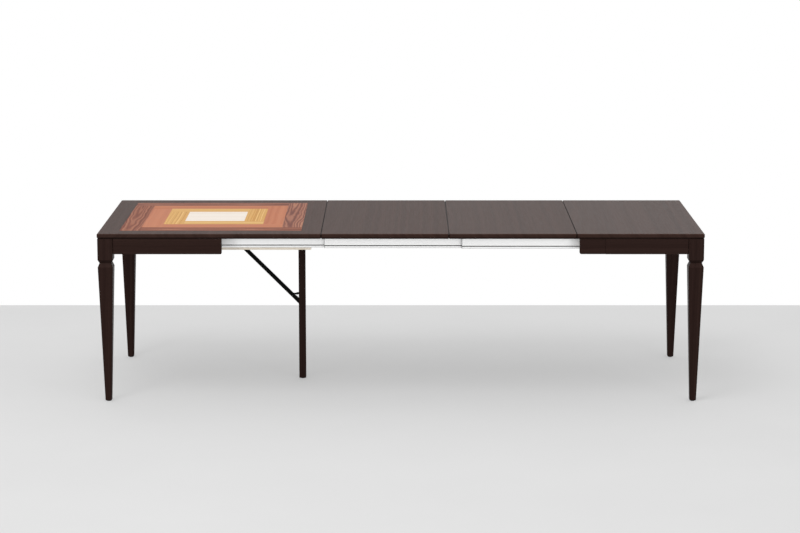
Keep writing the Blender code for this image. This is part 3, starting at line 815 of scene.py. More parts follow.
@dataclass(frozen=True)
class Coat(Finish):
    """A dark coat or moulding with a fine even grain."""

    low: Colour
    high: Colour
    grain: float
    relief: float

    PATCH_LUMPS: ClassVar[Triple] = (30.0, 30.0, 30.0)
    PATCH_SHARE: ClassVar[float] = 0.4
    TONE_SPAN: ClassVar[Pair] = (0.35, 0.65)      # share of the noise that the tone follows
    ROUGH_SPREAD: ClassVar[float] = 0.06
    RELIEF_DEPTH: ClassVar[float] = 0.0002

    def inputs(self, bench: Bench) -> Feed:
        """Fine lumps in tone, roughness and height.

        Args:
            bench: the empty material.

        Returns:
            What the main shader's inputs take, by name.
        """
        place = bench.place()
        lumps = bench.noise(place, (self.grain,) * 3, seed=3.0, detail=2.0)
        patches = bench.noise(place, self.PATCH_LUMPS, seed=4.0, detail=2.0)
        fine = bench.work("MULTIPLY", lumps, 1.0 - self.PATCH_SHARE)
        blend = bench.work("ADD", fine, bench.work("MULTIPLY", patches, self.PATCH_SHARE))
        return {
            "Base Color": bench.ramp(blend, tuple(zip(self.TONE_SPAN, (self.low, self.high)))),
            "Roughness": self.uneven(bench, lumps, self.ROUGH_SPREAD),
            "Normal": bench.bump(lumps, self.relief, self.RELIEF_DEPTH),
        }


@dataclass(frozen=True)
class PaleFloor(Finish):
    """A matt pale floor with faint clouds.

    A share of its paleness is lit and keeps the shadows, and the rest is a glow that is only seen. The floor
    throws less light back up than it looks to.
    """

    low: Colour
    high: Colour
    lit_share: float
    glow: Colour
    bounce: Colour

    CLOUD_LUMPS: ClassVar[Triple] = (1.5, 1.5, 1.5)
    TONE_SPAN: ClassVar[Pair] = (0.3, 0.7)        # share of the noise that the tone follows

    def inputs(self, bench: Bench) -> Feed:
        """Clouds for rays that are seen, and a duller tone for those that bounce.

        Args:
            bench: the empty material.

        Returns:
            What the main shader's inputs take, by name.
        """
        cloud = bench.noise(bench.place(), self.CLOUD_LUMPS, seed=5.0, detail=2.0)
        pale = bench.ramp(cloud, tuple(zip(self.TONE_SPAN, (self.low, self.high))))
        seen = bench.seen()
        dull = bench.work("SUBTRACT", 1.0, seen)
        return {
            "Base Color": bench.mix(dull, bench.shade(pale, self.lit_share), linear(self.bounce)),
            "Roughness": self.roughness,
            "Emission Color": linear(self.glow),
            "Emission Strength": seen,
        }


# In the dark woods, depth sets how much painted shade faces that look down get.
# The panels' dark wood is a lighter copy of the frame's: partly the boards' own tone, partly painted light,
# the stronger light on the upward faces drawn into the colour.
PANEL_WOOD = Wood(
    slot="dark_wood", role="panel", roughness=0.42, gloss=0.05,
    stops=((0.0, (56, 38, 33)), (0.45, (63, 44, 38)), (1.0, (72, 51, 45))),
    pore=(34, 21, 18), rings=40.0, heart=0.30, slope=0.10, warp=0.020,
    fibre=0.09, pores=0.45, relief=0.22, depth=0.75,
)
FRAME_WOOD = Wood(
    slot="dark_wood", role="frame", roughness=0.46, gloss=0.05,
    stops=((0.0, (41, 26, 22)), (0.45, (47, 31, 27)), (1.0, (56, 39, 34))),
    pore=(22, 12, 10), rings=70.0, heart=0.30, slope=0.06, warp=0.020,
    fibre=0.10, pores=0.50, relief=0.22, depth=0.60,
)
RED_WOOD = Wood(
    slot="red_wood", role="veneer", roughness=0.62, gloss=0.08,
    stops=(
        (0.0, (92, 50, 43)), (0.3, (120, 70, 58)), (0.5, (144, 92, 74)), (0.72, (166, 112, 89)),
        (1.0, (194, 142, 112)),
    ),
    pore=(70, 34, 30), rings=85.0, heart=0.012, slope=0.035, warp=0.050,
    fibre=0.16, pores=0.40, relief=0.20, even=0.4,
)
SALMON_WOOD = Wood(
    slot="salmon_wood", role="veneer", roughness=0.62, gloss=0.08,
    stops=((0.0, (180, 110, 80)), (0.5, (189, 121, 90)), (1.0, (197, 131, 98))),
    pore=(156, 90, 64), rings=45.0, heart=0.40, slope=0.06, warp=0.030,
    fibre=0.05, pores=0.25, relief=0.12,
)
OCHRE_WOOD = Wood(
    slot="ochre_wood", role="veneer", roughness=0.62, gloss=0.08,
    stops=((0.0, (168, 112, 50)), (0.35, (206, 155, 90)), (0.6, (220, 177, 112)), (1.0, (236, 202, 144))),
    pore=(160, 108, 52), rings=130.0, heart=0.25, slope=0.05, warp=0.012,
    fibre=0.08, pores=0.30, relief=0.14,
)
CREAM_WOOD = Wood(
    slot="cream_wood", role="veneer", roughness=0.62, gloss=0.10,
    stops=((0.0, (231, 218, 205)), (0.5, (238, 228, 217)), (1.0, (244, 236, 227))),
    pore=(214, 196, 178), rings=40.0, heart=0.50, slope=0.05, warp=0.030,
    fibre=0.025, pores=0.18, relief=0.10,
)
PALE_WOOD = Wood(
    slot="pale_wood", role="batten", roughness=0.66, gloss=0.25,
    stops=((0.0, (246, 228, 202)), (0.5, (252, 240, 220)), (1.0, (255, 247, 234))),
    pore=(222, 192, 156), rings=110.0, heart=0.06, slope=0.05, warp=0.020,
    fibre=0.06, pores=0.40, relief=0.20,
)
ALUMINIUM = DrawnMetal(
    slot="aluminium", role="drawn", roughness=0.52, gloss=0.5,
    colour=(249, 249, 249), lines=(3.0, 1400.0, 1400.0),
)
STEEL = DrawnMetal(
    slot="steel", role="turned", roughness=0.34, gloss=0.5,
    colour=(176, 177, 180), lines=(900.0, 900.0, 900.0),
)
BLACK_STEEL = DrawnMetal(
    slot="steel", role="blackened", roughness=0.45, gloss=0.5,
    colour=(46, 46, 48), lines=(900.0, 900.0, 900.0),
)
BLACK_METAL = Coat(
    slot="black_metal", role="coat", roughness=0.50, gloss=0.05,
    low=(3, 3, 3), high=(9, 8, 8), grain=1500.0, relief=0.30,
)
BLACK_PLASTIC = Coat(
    slot="black_plastic", role="moulding", roughness=0.62, gloss=0.35,
    low=(15, 13, 12), high=(26, 23, 22), grain=900.0, relief=0.30,
)
FLOOR = PaleFloor(
    slot="floor", role="finish", roughness=0.85, gloss=0.1,
    low=(220, 220, 220), high=(224, 224, 224), lit_share=0.5, glow=(160, 160, 160), bounce=(150, 150, 150),
)


# Pieces

def set_out(name: str, data: bpy.types.ID) -> bpy.types.Object:
    """Put a mesh, lamp or camera into the scene.

    Args:
        name: the new object's name.
        data: what the object shows.

    Returns:
        The new object.
    """
    made = bpy.data.objects.new(name, data)
    bpy.context.scene.collection.objects.link(made)
    return made


def read_points(mesh: bpy.types.Mesh, key: str) -> Array:
    """Read the places or the normals of a mesh's points.

    Args:
        mesh: the mesh.
        key: co for the places, normal for the normals.

    Returns:
        One row for each point, (n, 3).
    """
    values = np.empty(len(mesh.vertices) * 3, np.float32)
    mesh.vertices.foreach_get(key, values)
    return values.reshape(-1, 3)


class Workshop:
    """Turns surfaces into dressed pieces on the frame's bodies."""

    def __init__(self, frame: dict) -> None:
        """Keep the frame's nodes and start counting boards.
        """
        self.nodes = frame["nodes"]
        self.boards = 0

    def piece(
        self, node: str, word: str, surface: Surface, finish: Finish, along: Axis = Axis.X,
        is_extra: bool = False,
    ) -> bpy.types.Object:
        """Make one piece, dress it and let it ride on the body of its node.

        Args:
            node: the frame's node that it belongs to, which starts its name.
            word: the rest of its name.
            surface: its shape, in the table's own place.
            finish: its finish.
            along: direction of the wood's grain.
            is_extra: whether it only goes with the node and doesn't stand for it.

        Returns:
            The new object.
        """
        name, body = f"{node}_{word}", self.nodes[node]["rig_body"]
        mesh = bpy.data.meshes.new(name)
        mesh.from_pydata(surface.points, [], surface.faces)
        self.close(mesh)
        mesh.shade_smooth()
        mesh.set_sharp_from_angle(angle=SHARP)
        if isinstance(finish, Wood):
            self.lay_grain(mesh, along)
        mesh.materials.append(finish.material())
        made = set_out(name, mesh)
        normals = made.modifiers.new("even_faces", "WEIGHTED_NORMAL")
        normals.keep_sharp = True
        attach(made, body)
        if not is_extra:
            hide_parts(node)
        LOG.info("%s: %d faces, %s, rides on %s", name, len(mesh.polygons), finish.slot, body)
        return made

    def stand_in(
        self, node: str, surface: Surface, finish: Finish, along: Axis = Axis.X,
    ) -> bpy.types.Object:
        """Make the piece that alone stands for one node, named after it and its finish."""
        return self.piece(node, finish.slot, surface, finish, along)

    @staticmethod
    def close(mesh: bpy.types.Mesh) -> None:
        """Weld a mesh's doubled points and turn its faces outwards.

        Args:
            mesh: the piece's mesh.
        """
        bm = bmesh.new()
        bm.from_mesh(mesh)
        bmesh.ops.remove_doubles(bm, verts=bm.verts, dist=WELD)
        bmesh.ops.recalc_face_normals(bm, faces=bm.faces)
        bm.to_mesh(mesh)
        bm.free()

    def lay_grain(self, mesh: bpy.types.Mesh, along: Axis) -> None:
        """Give each point its place in the board, and the board a number of its own.

        The grain coordinates are the place less the middle of the piece's box, with the direction of the
        fibres first and the piece's wider other side second. How far a point looks down is ((1 - n) / 2)^2,
        with n the upward part of its normal; it sets how much painted shade the point gets.

        Args:
            mesh: the piece's mesh.
            along: direction of the fibres.
        """
        places = read_points(mesh, "co")
        low, high = places.min(0), places.max(0)
        others = sorted(along.others, key=lambda i: low[i] - high[i])
        grain = (places - (low + high) / 2)[:, [along.value, *others]]
        mesh.attributes.new("grain", "FLOAT_VECTOR", "POINT").data.foreach_set("vector", grain.ravel())
        self.boards += 1
        # under holds how much painted shade each point gets, from how far it looks down.
        shares = {
            "under": np.square((1.0 - read_points(mesh, "normal")[:, 2]) / 2),
            "board": np.full(len(places), self.boards * BOARD_STEP, np.float32),
        }
        for name, values in shares.items():
            mesh.attributes.new(name, "FLOAT", "POINT").data.foreach_set("value", values)


@dataclass
class Glide:
    """A round foot glide with a rounded tread and a sunk nail in its middle."""

    shop: Workshop
    nail: float = 0.0012
    hole_floor: float = 0.0022
    hole_mouth: float = 0.0026
    hole_depth: float = 0.0009
    floor_ease: float = 0.0002
    mouth_ease: float = 0.0003
    tread_ease: float = 0.0011
    top_ease: float = 0.0002
    top_share: float = 0.7

    def build(self, node: str) -> None:
        """Make one glide as a profile of radius and height, turned about Z.

        Args:
            node: the glide's node.
        """
        low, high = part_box(node)
        radius = (high.x - low.x) / 2
        sunk = low.z + self.hole_depth
        path = np.array([
            (self.nail, sunk), (self.hole_floor, sunk), (self.hole_mouth, low.z), (radius, low.z),
            (radius, high.z), (radius * self.top_share, high.z),
        ])
        eases = np.array([self.floor_ease, self.mouth_ease, self.tread_ease, self.top_ease])
        surface = turned(rounded_path(path, eases), centre_across(low, high, Axis.Z), Axis.Z)
        self.shop.stand_in(node, surface, BLACK_PLASTIC)


@dataclass
class Screws:
    """Low domed screw heads that face down from a wooden piece, each with a cross recess.

    The arms of the cross are given as shares of the head's radius.
    """

    shop: Workshop
    radius: float = 0.0042
    dome: float = 0.0012
    sunk: float = 0.0010
    arm_half: float = 0.11
    arm_reach: float = 0.58
    arm_soft: float = 0.06
    rim: float = 0.0008
    rings: int = 12
    steps: int = 32

    def build(self, node: str, places: list[Triple]) -> None:
        """Make all the heads of one wooden piece.

        Args:
            node: the wooden piece's node.
            places: middles of the heads in its lower face.
        """
        heads = join(*(self.head(place) for place in places))
        self.shop.piece(node, "screws", heads, STEEL, is_extra=True)

    def head(self, centre: Triple) -> Surface:
        """One head.

        Its depth below the wood is dome * (1 - (r / R)^2), less the recess where |x| or |y| lies inside an
        arm of the cross; the rim then turns back up into the wood.

        Args:
            centre: middle of the head in the face of the wood.

        Returns:
            The closed surface.
        """
        shares = np.linspace(0.0, 1.0, self.rings + 1)[1:]
        ring = circle((0.0, 0.0), 1.0, self.steps)
        places = shares[:, None, None] * ring[None]
        x, y = np.abs(places[..., 0]), np.abs(places[..., 1])
        cross = np.maximum(self.arm(x, y), self.arm(y, x))
        depth = self.dome * (1.0 - shares[:, None] ** 2) - self.sunk * cross
        heights = centre[2] - np.concatenate([depth, np.full((1, self.steps), -self.rim)])
        flat = np.concatenate([places, ring[None]]) * self.radius + np.asarray(centre[:2])
        points = np.concatenate([flat, heights[..., None]], -1).reshape(-1, 3)
        numbers = np.arange(len(points)).reshape(-1, self.steps)
        faces = wall_faces(*numbers.shape).tolist()
        return Surface(points, faces + numbers[[0, -1]].tolist())

    def arm(self, narrow: Array, wide: Array) -> Array:
        """One arm of the cross, 1 inside and 0 outside with a soft edge."""
        inside = np.clip((self.arm_half - narrow) / self.arm_soft + 0.5, 0.0, 1.0)
        return inside * np.clip((self.arm_reach - wide) / self.arm_soft + 0.5, 0.0, 1.0)


@dataclass(frozen=True)
class PanelLevel:
    """One level of a panel: its height, how its edges and its seams draw in, and its tongue's reach."""

    height: float
    edge: float
    seam: float
    has_slots: bool = False
    tongue: float = 0.0


@dataclass(frozen=True)
class PinSlot:
    """Room for a neighbour's pin: its span across the table, how far it reaches and its upper level."""

    low: float
    high: float
    reach: float
    ceiling: float


@dataclass
class TopPanels:
    """The fixed square panel and the three leaves, with their rounded arrises and dowel pins."""

    shop: Workshop
    edge_ease: float = 0.0045
    edge_steps: int = 6
    bevel_height: float = 0.0075
    bevel_depth: float = 0.0045
    bevel_ease: float = 0.0008
    seam_ease: float = 0.0024
    seam_steps: int = 3
    seam_foot_ease: float = 0.0022
    seam_corner: float = 0.0034
    seam_draw: float = 0.0009
    tongue_low: float = 0.0028
    tongue_high: float = 0.0050
    tongue_setback: float = 0.009
    tongue_gap: float = 0.0001
    slot_tuck: float = 0.25
    recess: float = 0.0018
    # how much more painted shade the panels' edges get
    edge_stain: float = 1.6
    pin_ease: float = 0.0012
    fixed: str = "main_top"
    leaves: tuple[str, ...] = ("leaf_1", "leaf_2", "leaf_3")

    def build(self) -> None:
        """Make the panels from left to right, each with the pins in its right edge."""
        inlay_low, inlay_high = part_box("inlay_outer_band")
        rim = inset_loop(rectangle(inlay_low[:2], inlay_high[:2]), -FIT_GAP)
        self.lay(self.fixed, (End.RIGHT,), rim=rim)
        owner = self.fixed
        for leaf in self.leaves:
            self.pins(owner)
            self.lay(leaf, (End.LEFT,) if leaf == self.leaves[-1] else (End.LEFT, End.RIGHT), owner)
            owner = leaf

    def pins(self, owner: str) -> None:
        """The two steel dowels in a panel's right edge.

        Args:
            owner: the panel's node.
        """
        for side in Side:
            node = f"{owner}_{side.word}_pin"
            self.shop.stand_in(node, round_bar(*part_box(node), Axis.X, self.pin_ease), STEEL)

    def lay(
        self, node: str, seams: tuple[End, ...], pinned_to: str | None = None, rim: Array | None = None,
    ) -> None:
        """Make a panel as plan outlines carried up through levels, and deepen its painted shade.

        An inlaid panel ends in a square recess, whose outline has as many points as the panel's own.

        Args:
            node: the panel's node.
            seams: the ends that meet another panel.
            pinned_to: the neighbour whose pins enter the left edge.
            rim: corners of the recess for the inlay.
        """
        low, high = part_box(node)
        slots = [self.slot(pinned_to, side) for side in reversed(Side)] if pinned_to else []
        levels = self.levels(low.z, high.z, slots[0].ceiling if slots else None, End.RIGHT in seams)
        outlines = [self.outline(level, low, high, seams, slots) for level in levels]
        heights = [level.height for level in levels]
        if rim is not None:
            spare = len(outlines[0]) // (ARC_STEPS + 1) - 2
            right_side = np.linspace(rim[1], rim[2], spare)
            square = rounded_loop(np.concatenate([rim[:1], right_side, rim[3:]]), 0.0)
            outlines += [square, square]
            heights += [high.z, high.z - self.recess]
        surface = carry(np.stack(outlines), np.array(heights), Axis.Z)
        made = self.shop.stand_in(node, surface, PANEL_WOOD, Axis.Y)
        # Paint shade on the panel's edges and in its seams.
        self.stain(made, node, seams)

    def outline(
        self, level: PanelLevel, low: Vector, high: Vector, seams: tuple[End, ...], slots: list[PinSlot],
    ) -> Array:
        """A panel's plan at one level.

        Each side is drawn in by the level's own inset. Below the pins' upper level the left edge has a slot
        for each pin of the neighbour, and a tongue on the right edge closes the seam.

        Args:
            level: the level.
            low: lowest corner of the panel's box.
            high: highest corner of the panel's box.
            seams: the ends that meet another panel.
            slots: room for the neighbour's pins.

        Returns:
            The outline's points.
        """
        left = low.x + (level.seam if End.LEFT in seams else level.edge)
        right = high.x - (level.seam if End.RIGHT in seams else level.edge)
        front, back = low.y + level.edge, high.y - level.edge
        start, stop = low.y + self.tongue_setback, high.y - self.tongue_setback
        tip = right + level.tongue
        corners = [
            (left, front), (right, front), (right, start), (tip, start + self.seam_ease),
            (tip, stop - self.seam_ease), (right, stop), (right, back), (left, back),
        ]
        radii = [self.seam_corner] * 2 + [0.0] * 4 + [self.seam_corner] * 2
        for slot in slots:
            tuck = 0.0 if level.has_slots else (slot.high - slot.low) * self.slot_tuck
            inner = slot.reach if level.has_slots else left
            corners += [(left, slot.high), (inner, slot.high - tuck)]
            corners += [(inner, slot.low + tuck), (left, slot.low)]
            radii += [0.0] * 4
        return rounded_loop(np.array(corners), np.array(radii))

    def levels(self, low: float, high: float, ceiling: float | None, has_tongue: bool) -> list[PanelLevel]:
        """A panel's levels from its lower to its upper face, drawn in as arris_inset() says.

        Args:
            low: height of the lower face.
            high: height of the upper face.
            ceiling: upper level of the pin slots, if it has them.
            has_tongue: whether the right edge meets a neighbour.

        Returns:
            The levels in order.
        """
        reach = 0.0
        if has_tongue:
            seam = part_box(self.leaves[0])[0].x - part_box(self.fixed)[1].x
            reach = seam + 2 * self.seam_draw - self.tongue_gap
        steps = self.seam_steps
        feet = np.union1d(arris_steps(self.bevel_ease, steps), arris_steps(self.seam_foot_ease, steps))
        upright = self.bevel_height + self.bevel_ease
        rises = np.concatenate([feet, [self.tongue_low, self.tongue_low, self.bevel_height, upright]])
        slopes = np.maximum(1.0 - rises / self.bevel_height, 0.0)
        bevels = self.bevel_depth * slopes + arris_inset(self.bevel_ease, rises)
        joints = self.seam_draw + arris_inset(self.seam_foot_ease, rises)
        tongues = [0.0] * (len(feet) + 1) + [reach] * 3
        levels = [
            PanelLevel(low + rise, edge, joint, True, tongue)
            for rise, edge, joint, tongue in zip(rises, bevels, joints, tongues)
        ]
        if ceiling is not None:
            levels += [PanelLevel(ceiling, 0.0, self.seam_draw, is_open, reach) for is_open in (True, False)]
        upper = high - self.tongue_high
        levels += [PanelLevel(upper, 0.0, self.seam_draw, False, tongue) for tongue in (reach, 0.0)]
        drops = np.union1d(arris_steps(self.edge_ease, self.edge_steps), arris_steps(self.seam_ease, steps))
        edges = arris_inset(self.edge_ease, drops)
        joints = self.seam_draw + arris_inset(self.seam_ease, drops)
        top = [PanelLevel(high - drop, edge, joint) for drop, edge, joint in zip(drops, edges, joints)]
        return levels + top[::-1]

    def stain(self, panel: bpy.types.Object, node: str, seams: tuple[End, ...]) -> None:
        """Paint deeper shade on a panel's edges, and full shade along its seams.

        A seam's share is sqrt(1 - d / reach), with d the distance from the panel's end. The reach is the
        width of the upper rounding on the upper face, and that of the corner's rounding lower down.

        Args:
            panel: the dressed panel.
            node: the panel's node.
            seams: the ends that meet another panel.
        """
        low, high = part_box(node)
        places = read_points(panel.data, "co")
        stain = panel.data.attributes["under"].data
        shares = np.empty(len(places), np.float32)
        stain.foreach_get("value", shares)
        # Painted shade: stronger on the edges, and full in the seams, where shade falls between panels.
        shares = np.minimum(shares * self.edge_stain, 1.0)
        reach = self.seam_draw + np.minimum(self.seam_ease + high.z - places[:, 2], self.seam_corner)
        for seam in seams:
            distance = np.abs(places[:, 0] - (low.x if seam is End.LEFT else high.x))
            near = np.sqrt(np.clip(1.0 - distance / reach, 0.0, 1.0))
            shares = np.maximum(shares, near)
        stain.foreach_set("value", shares.astype(np.float32))

    @staticmethod
    def slot(owner: str, side: Side) -> PinSlot:
        """Where a neighbour's pin needs room."""
        low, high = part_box(f"{owner}_{side.word}_pin")
        return PinSlot(low.y - FIT_GAP, high.y + FIT_GAP, high.x + FIT_GAP, high.z + FIT_GAP)


@dataclass
class Inlay:
    """Nested square bands of veneer, each laid as four strips that turn round the centre square."""

    shop: Workshop
    hairline: float = 0.0001
    ease: float = 0.0001
    ease_steps: int = 2
    bands: tuple[tuple[str, Wood], ...] = (
        ("inlay_outer_band", RED_WOOD),
        ("inlay_middle_band", SALMON_WOOD),
        ("inlay_inner_band", OCHRE_WOOD),
    )
    centre: str = "inlay_centre"

    def build(self) -> None:
        """Make the strips of each band and the centre square."""
        names = [name for name, _ in self.bands] + [self.centre]
        for (node, finish), inner_node in zip(self.bands, names[1:]):
            self.band(node, finish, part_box(inner_node))
        self.shop.stand_in(self.centre, self.strip(*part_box(self.centre)), CREAM_WOOD)

    def band(self, node: str, finish: Wood, inner: Box) -> None:
        """The four strips of one band; each starts at a corner and stops against the next strip.

        Args:
            node: the band's node.
            finish: its veneer.
            inner: box of the next band inside it.
        """
        low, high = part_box(node)
        start, stop = inner
        strips = {
            "back": ((low.x, stop.y), (stop.x, high.y), Axis.X),
            "right": ((stop.x, start.y), (high.x, high.y), Axis.Y),
            "front": ((start.x, low.y), (high.x, start.y), Axis.X),
            "left": ((low.x, low.y), (start.x, stop.y), Axis.Y),
        }
        for word, (first, last, along) in strips.items():
            surface = self.strip(Vector((*first, low.z)), Vector((*last, high.z)))
            self.shop.piece(node, f"{word}_strip", surface, finish, along)

    def strip(self, low: Vector, high: Vector) -> Surface:
        """A thin slip of veneer with crisp arrises, a hairline short on every side."""
        gap = Vector((self.hairline, self.hairline, 0.0))
        return block(low + gap, high - gap, self.ease, self.ease_steps)


@dataclass
class HalfFrame:
    """Legs, glides and aprons of one end of the table."""

    shop: Workshop
    end: End
    foot: float = 0.029
    neck: float = 0.053
    block_length: float = 0.0962
    neck_drop: float = 0.0140
    neck_rise: float = 0.0190
    leg_edge: float = 0.0035
    leg_steps: int = 5
    foot_ease: float = 0.004
    ridge_ease: float = 0.0011
    apron_ease: float = 0.0009
    joint_groove: float = 0.0014
    joint_depth: float = 0.004
    joint_ease: float = 0.0012
    tip_round: float = 0.008
    tip_steps: int = 6
    tip_ease: float = 0.0009
    lip_ease: float = 0.0002
    lip: float = 0.003
    run_gap: float = 0.0004
    lap_spare: float = 0.002
    height_digits: int = 6

    def build(self) -> None:
        """Make the pieces of both sides and the end apron."""
        for side in Side:
            corner = f"{side.word}_{self.end.word}"
            leg, apron = f"{corner}_leg", f"{corner}_apron"
            self.shop.stand_in(leg, self.leg(*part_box(leg)), FRAME_WOOD, Axis.Z)
            Glide(self.shop).build(f"{corner}_glide")
            self.shop.stand_in(apron, self.long_apron(apron, leg, side), FRAME_WOOD)
        self.build_end_apron()

    def leg(self, low: Vector, high: Vector) -> Surface:
        """A leg: the half width as a function of height, carried round a square with rounded corners.

        Args:
            low: lowest corner of the leg's box.
            high: highest corner of the leg's box.

        Returns:
            The closed surface.
        """
        half, foot, neck = (high.x - low.x) / 2, self.foot / 2, self.neck / 2
        block_foot = high.z - self.block_length
        neck_level = block_foot - self.neck_drop
        taper_top = neck_level - self.neck_rise
        path = np.array([
            (foot - self.foot_ease - self.leg_edge, low.z), (foot, low.z), (half, taper_top),
            (neck, neck_level), (half, block_foot), (half, high.z), (half - self.leg_edge * 2, high.z),
        ])
        ridge = self.ridge_ease
        eases = np.array([self.foot_ease, ridge, ridge / 2, ridge, ridge / 2])
        profile = rounded_path(path, eases, self.leg_steps)
        middle = np.array(centre_across(low, high, Axis.Z))
        square = rectangle((-1.0, -1.0), (1.0, 1.0))
        outlines = [rounded_loop(middle + square * width, self.leg_edge) for width in profile[:, 0]]
        return carry(np.stack(outlines), profile[:, 1], Axis.Z)

    def long_apron(self, node: str, leg: str, side: Side) -> Surface:
        """A front or back apron with its half of the sliding lap at the free end.

        Distances run from the leg towards the free end and depths from the outer face inwards. A blind
        groove runs along the leg, and near the lower edge the tip draws in by arris_inset() of its rounding.

        Args:
            node: the apron's node.
            leg: the leg that it stands against.
            side: front or back.

        Returns:
            The closed surface.
        """
        low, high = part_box(node)
        leg_low, leg_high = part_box(leg)
        top_low, top_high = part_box("main_top")
        is_left = self.end is End.LEFT
        root = leg_high.x + FIT_GAP if is_left else leg_low.x - FIT_GAP
        tip_x = high.x if is_left else low.x
        end_x = top_low.x if is_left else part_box("leaf_3")[1].x
        reach = abs(tip_x - root)
        lap = 2 * abs(tip_x - end_x) - (top_high.x - top_low.x) + self.lap_spare
        inner = reach - lap
        thick = high.y - low.y
        outer = low.y if side is Side.FRONT else high.y
        turns = np.array((-self.end.value, -side.value))
        groove, tongue = self.joint_groove, self.lip + self.run_gap

        def plan(tip: float) -> Array:
            """Corners of the apron's plan at one height.

            Args:
                tip: distance of its tip from the leg.

            Returns:
                The corners in order, (8, 2).
            """
            if is_left:
                local = [(tip, 0), (tip, self.lip), (inner, self.lip), (inner, thick)]
            else:
                local = [(inner, 0), (inner, tongue), (tip, tongue), (tip, thick)]
            local += [(0, thick), (0, self.joint_depth), (groove, self.joint_depth), (groove, 0)]
            return np.array((root, outer)) + np.array(local) * turns

        arris = arris_steps(self.apron_ease)
        rises = np.concatenate([arris, arris_steps(self.tip_round, self.tip_steps)])
        rises = np.unique(rises.round(self.height_digits))
        heights = np.concatenate([low.z + rises, (high.z - arris)[::-1]])
        depth_low, depth_high = heights - low.z, high.z - heights
        draws = arris_inset(self.apron_ease, np.minimum(depth_low, depth_high))
        tips = reach - arris_inset(self.tip_round, depth_low)
        lapped = (self.lip_ease, 0.0, self.tip_ease) if is_left else (0.0, self.tip_ease, self.tip_ease)
        radii = np.array([self.tip_ease, *lapped, 0.0, 0.0, 0.0, self.joint_ease])
        outlines = [rounded_loop(inset_loop(plan(tip), draw), radii) for tip, draw in zip(tips, draws)]
        return carry(np.stack(outlines), heights, Axis.Z)

    def build_end_apron(self) -> None:
        """The apron between the two legs of this end."""
        node = f"{self.end.word}_end_apron"
        low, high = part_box(node)
        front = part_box(f"front_{self.end.word}_leg")[1].y + FIT_GAP
        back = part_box(f"back_{self.end.word}_leg")[0].y - FIT_GAP
        surface = block(Vector((low.x, front, low.z)), Vector((high.x, back, high.z)), self.apron_ease)
        self.shop.stand_in(node, surface, FRAME_WOOD, Axis.Y)


class Stage(Enum):
    """Stages of the telescopic guides, from the fixed rail outwards; the value is the word in the nodes."""

    FIXED = "fixed"
    INNER = "inner"
    MIDDLE = "middle"
    OUTER = "outer"
    CARRIER = "carrier"

    @property
    def has_grooves(self) -> bool:
        """Whether the rail's outer face takes the ribs of the next stage."""
        return self is not Stage.CARRIER

    @property
    def has_ribs(self) -> bool:
        """Whether the rail's inner face runs in the grooves of the stage before."""
        return self is not Stage.FIXED


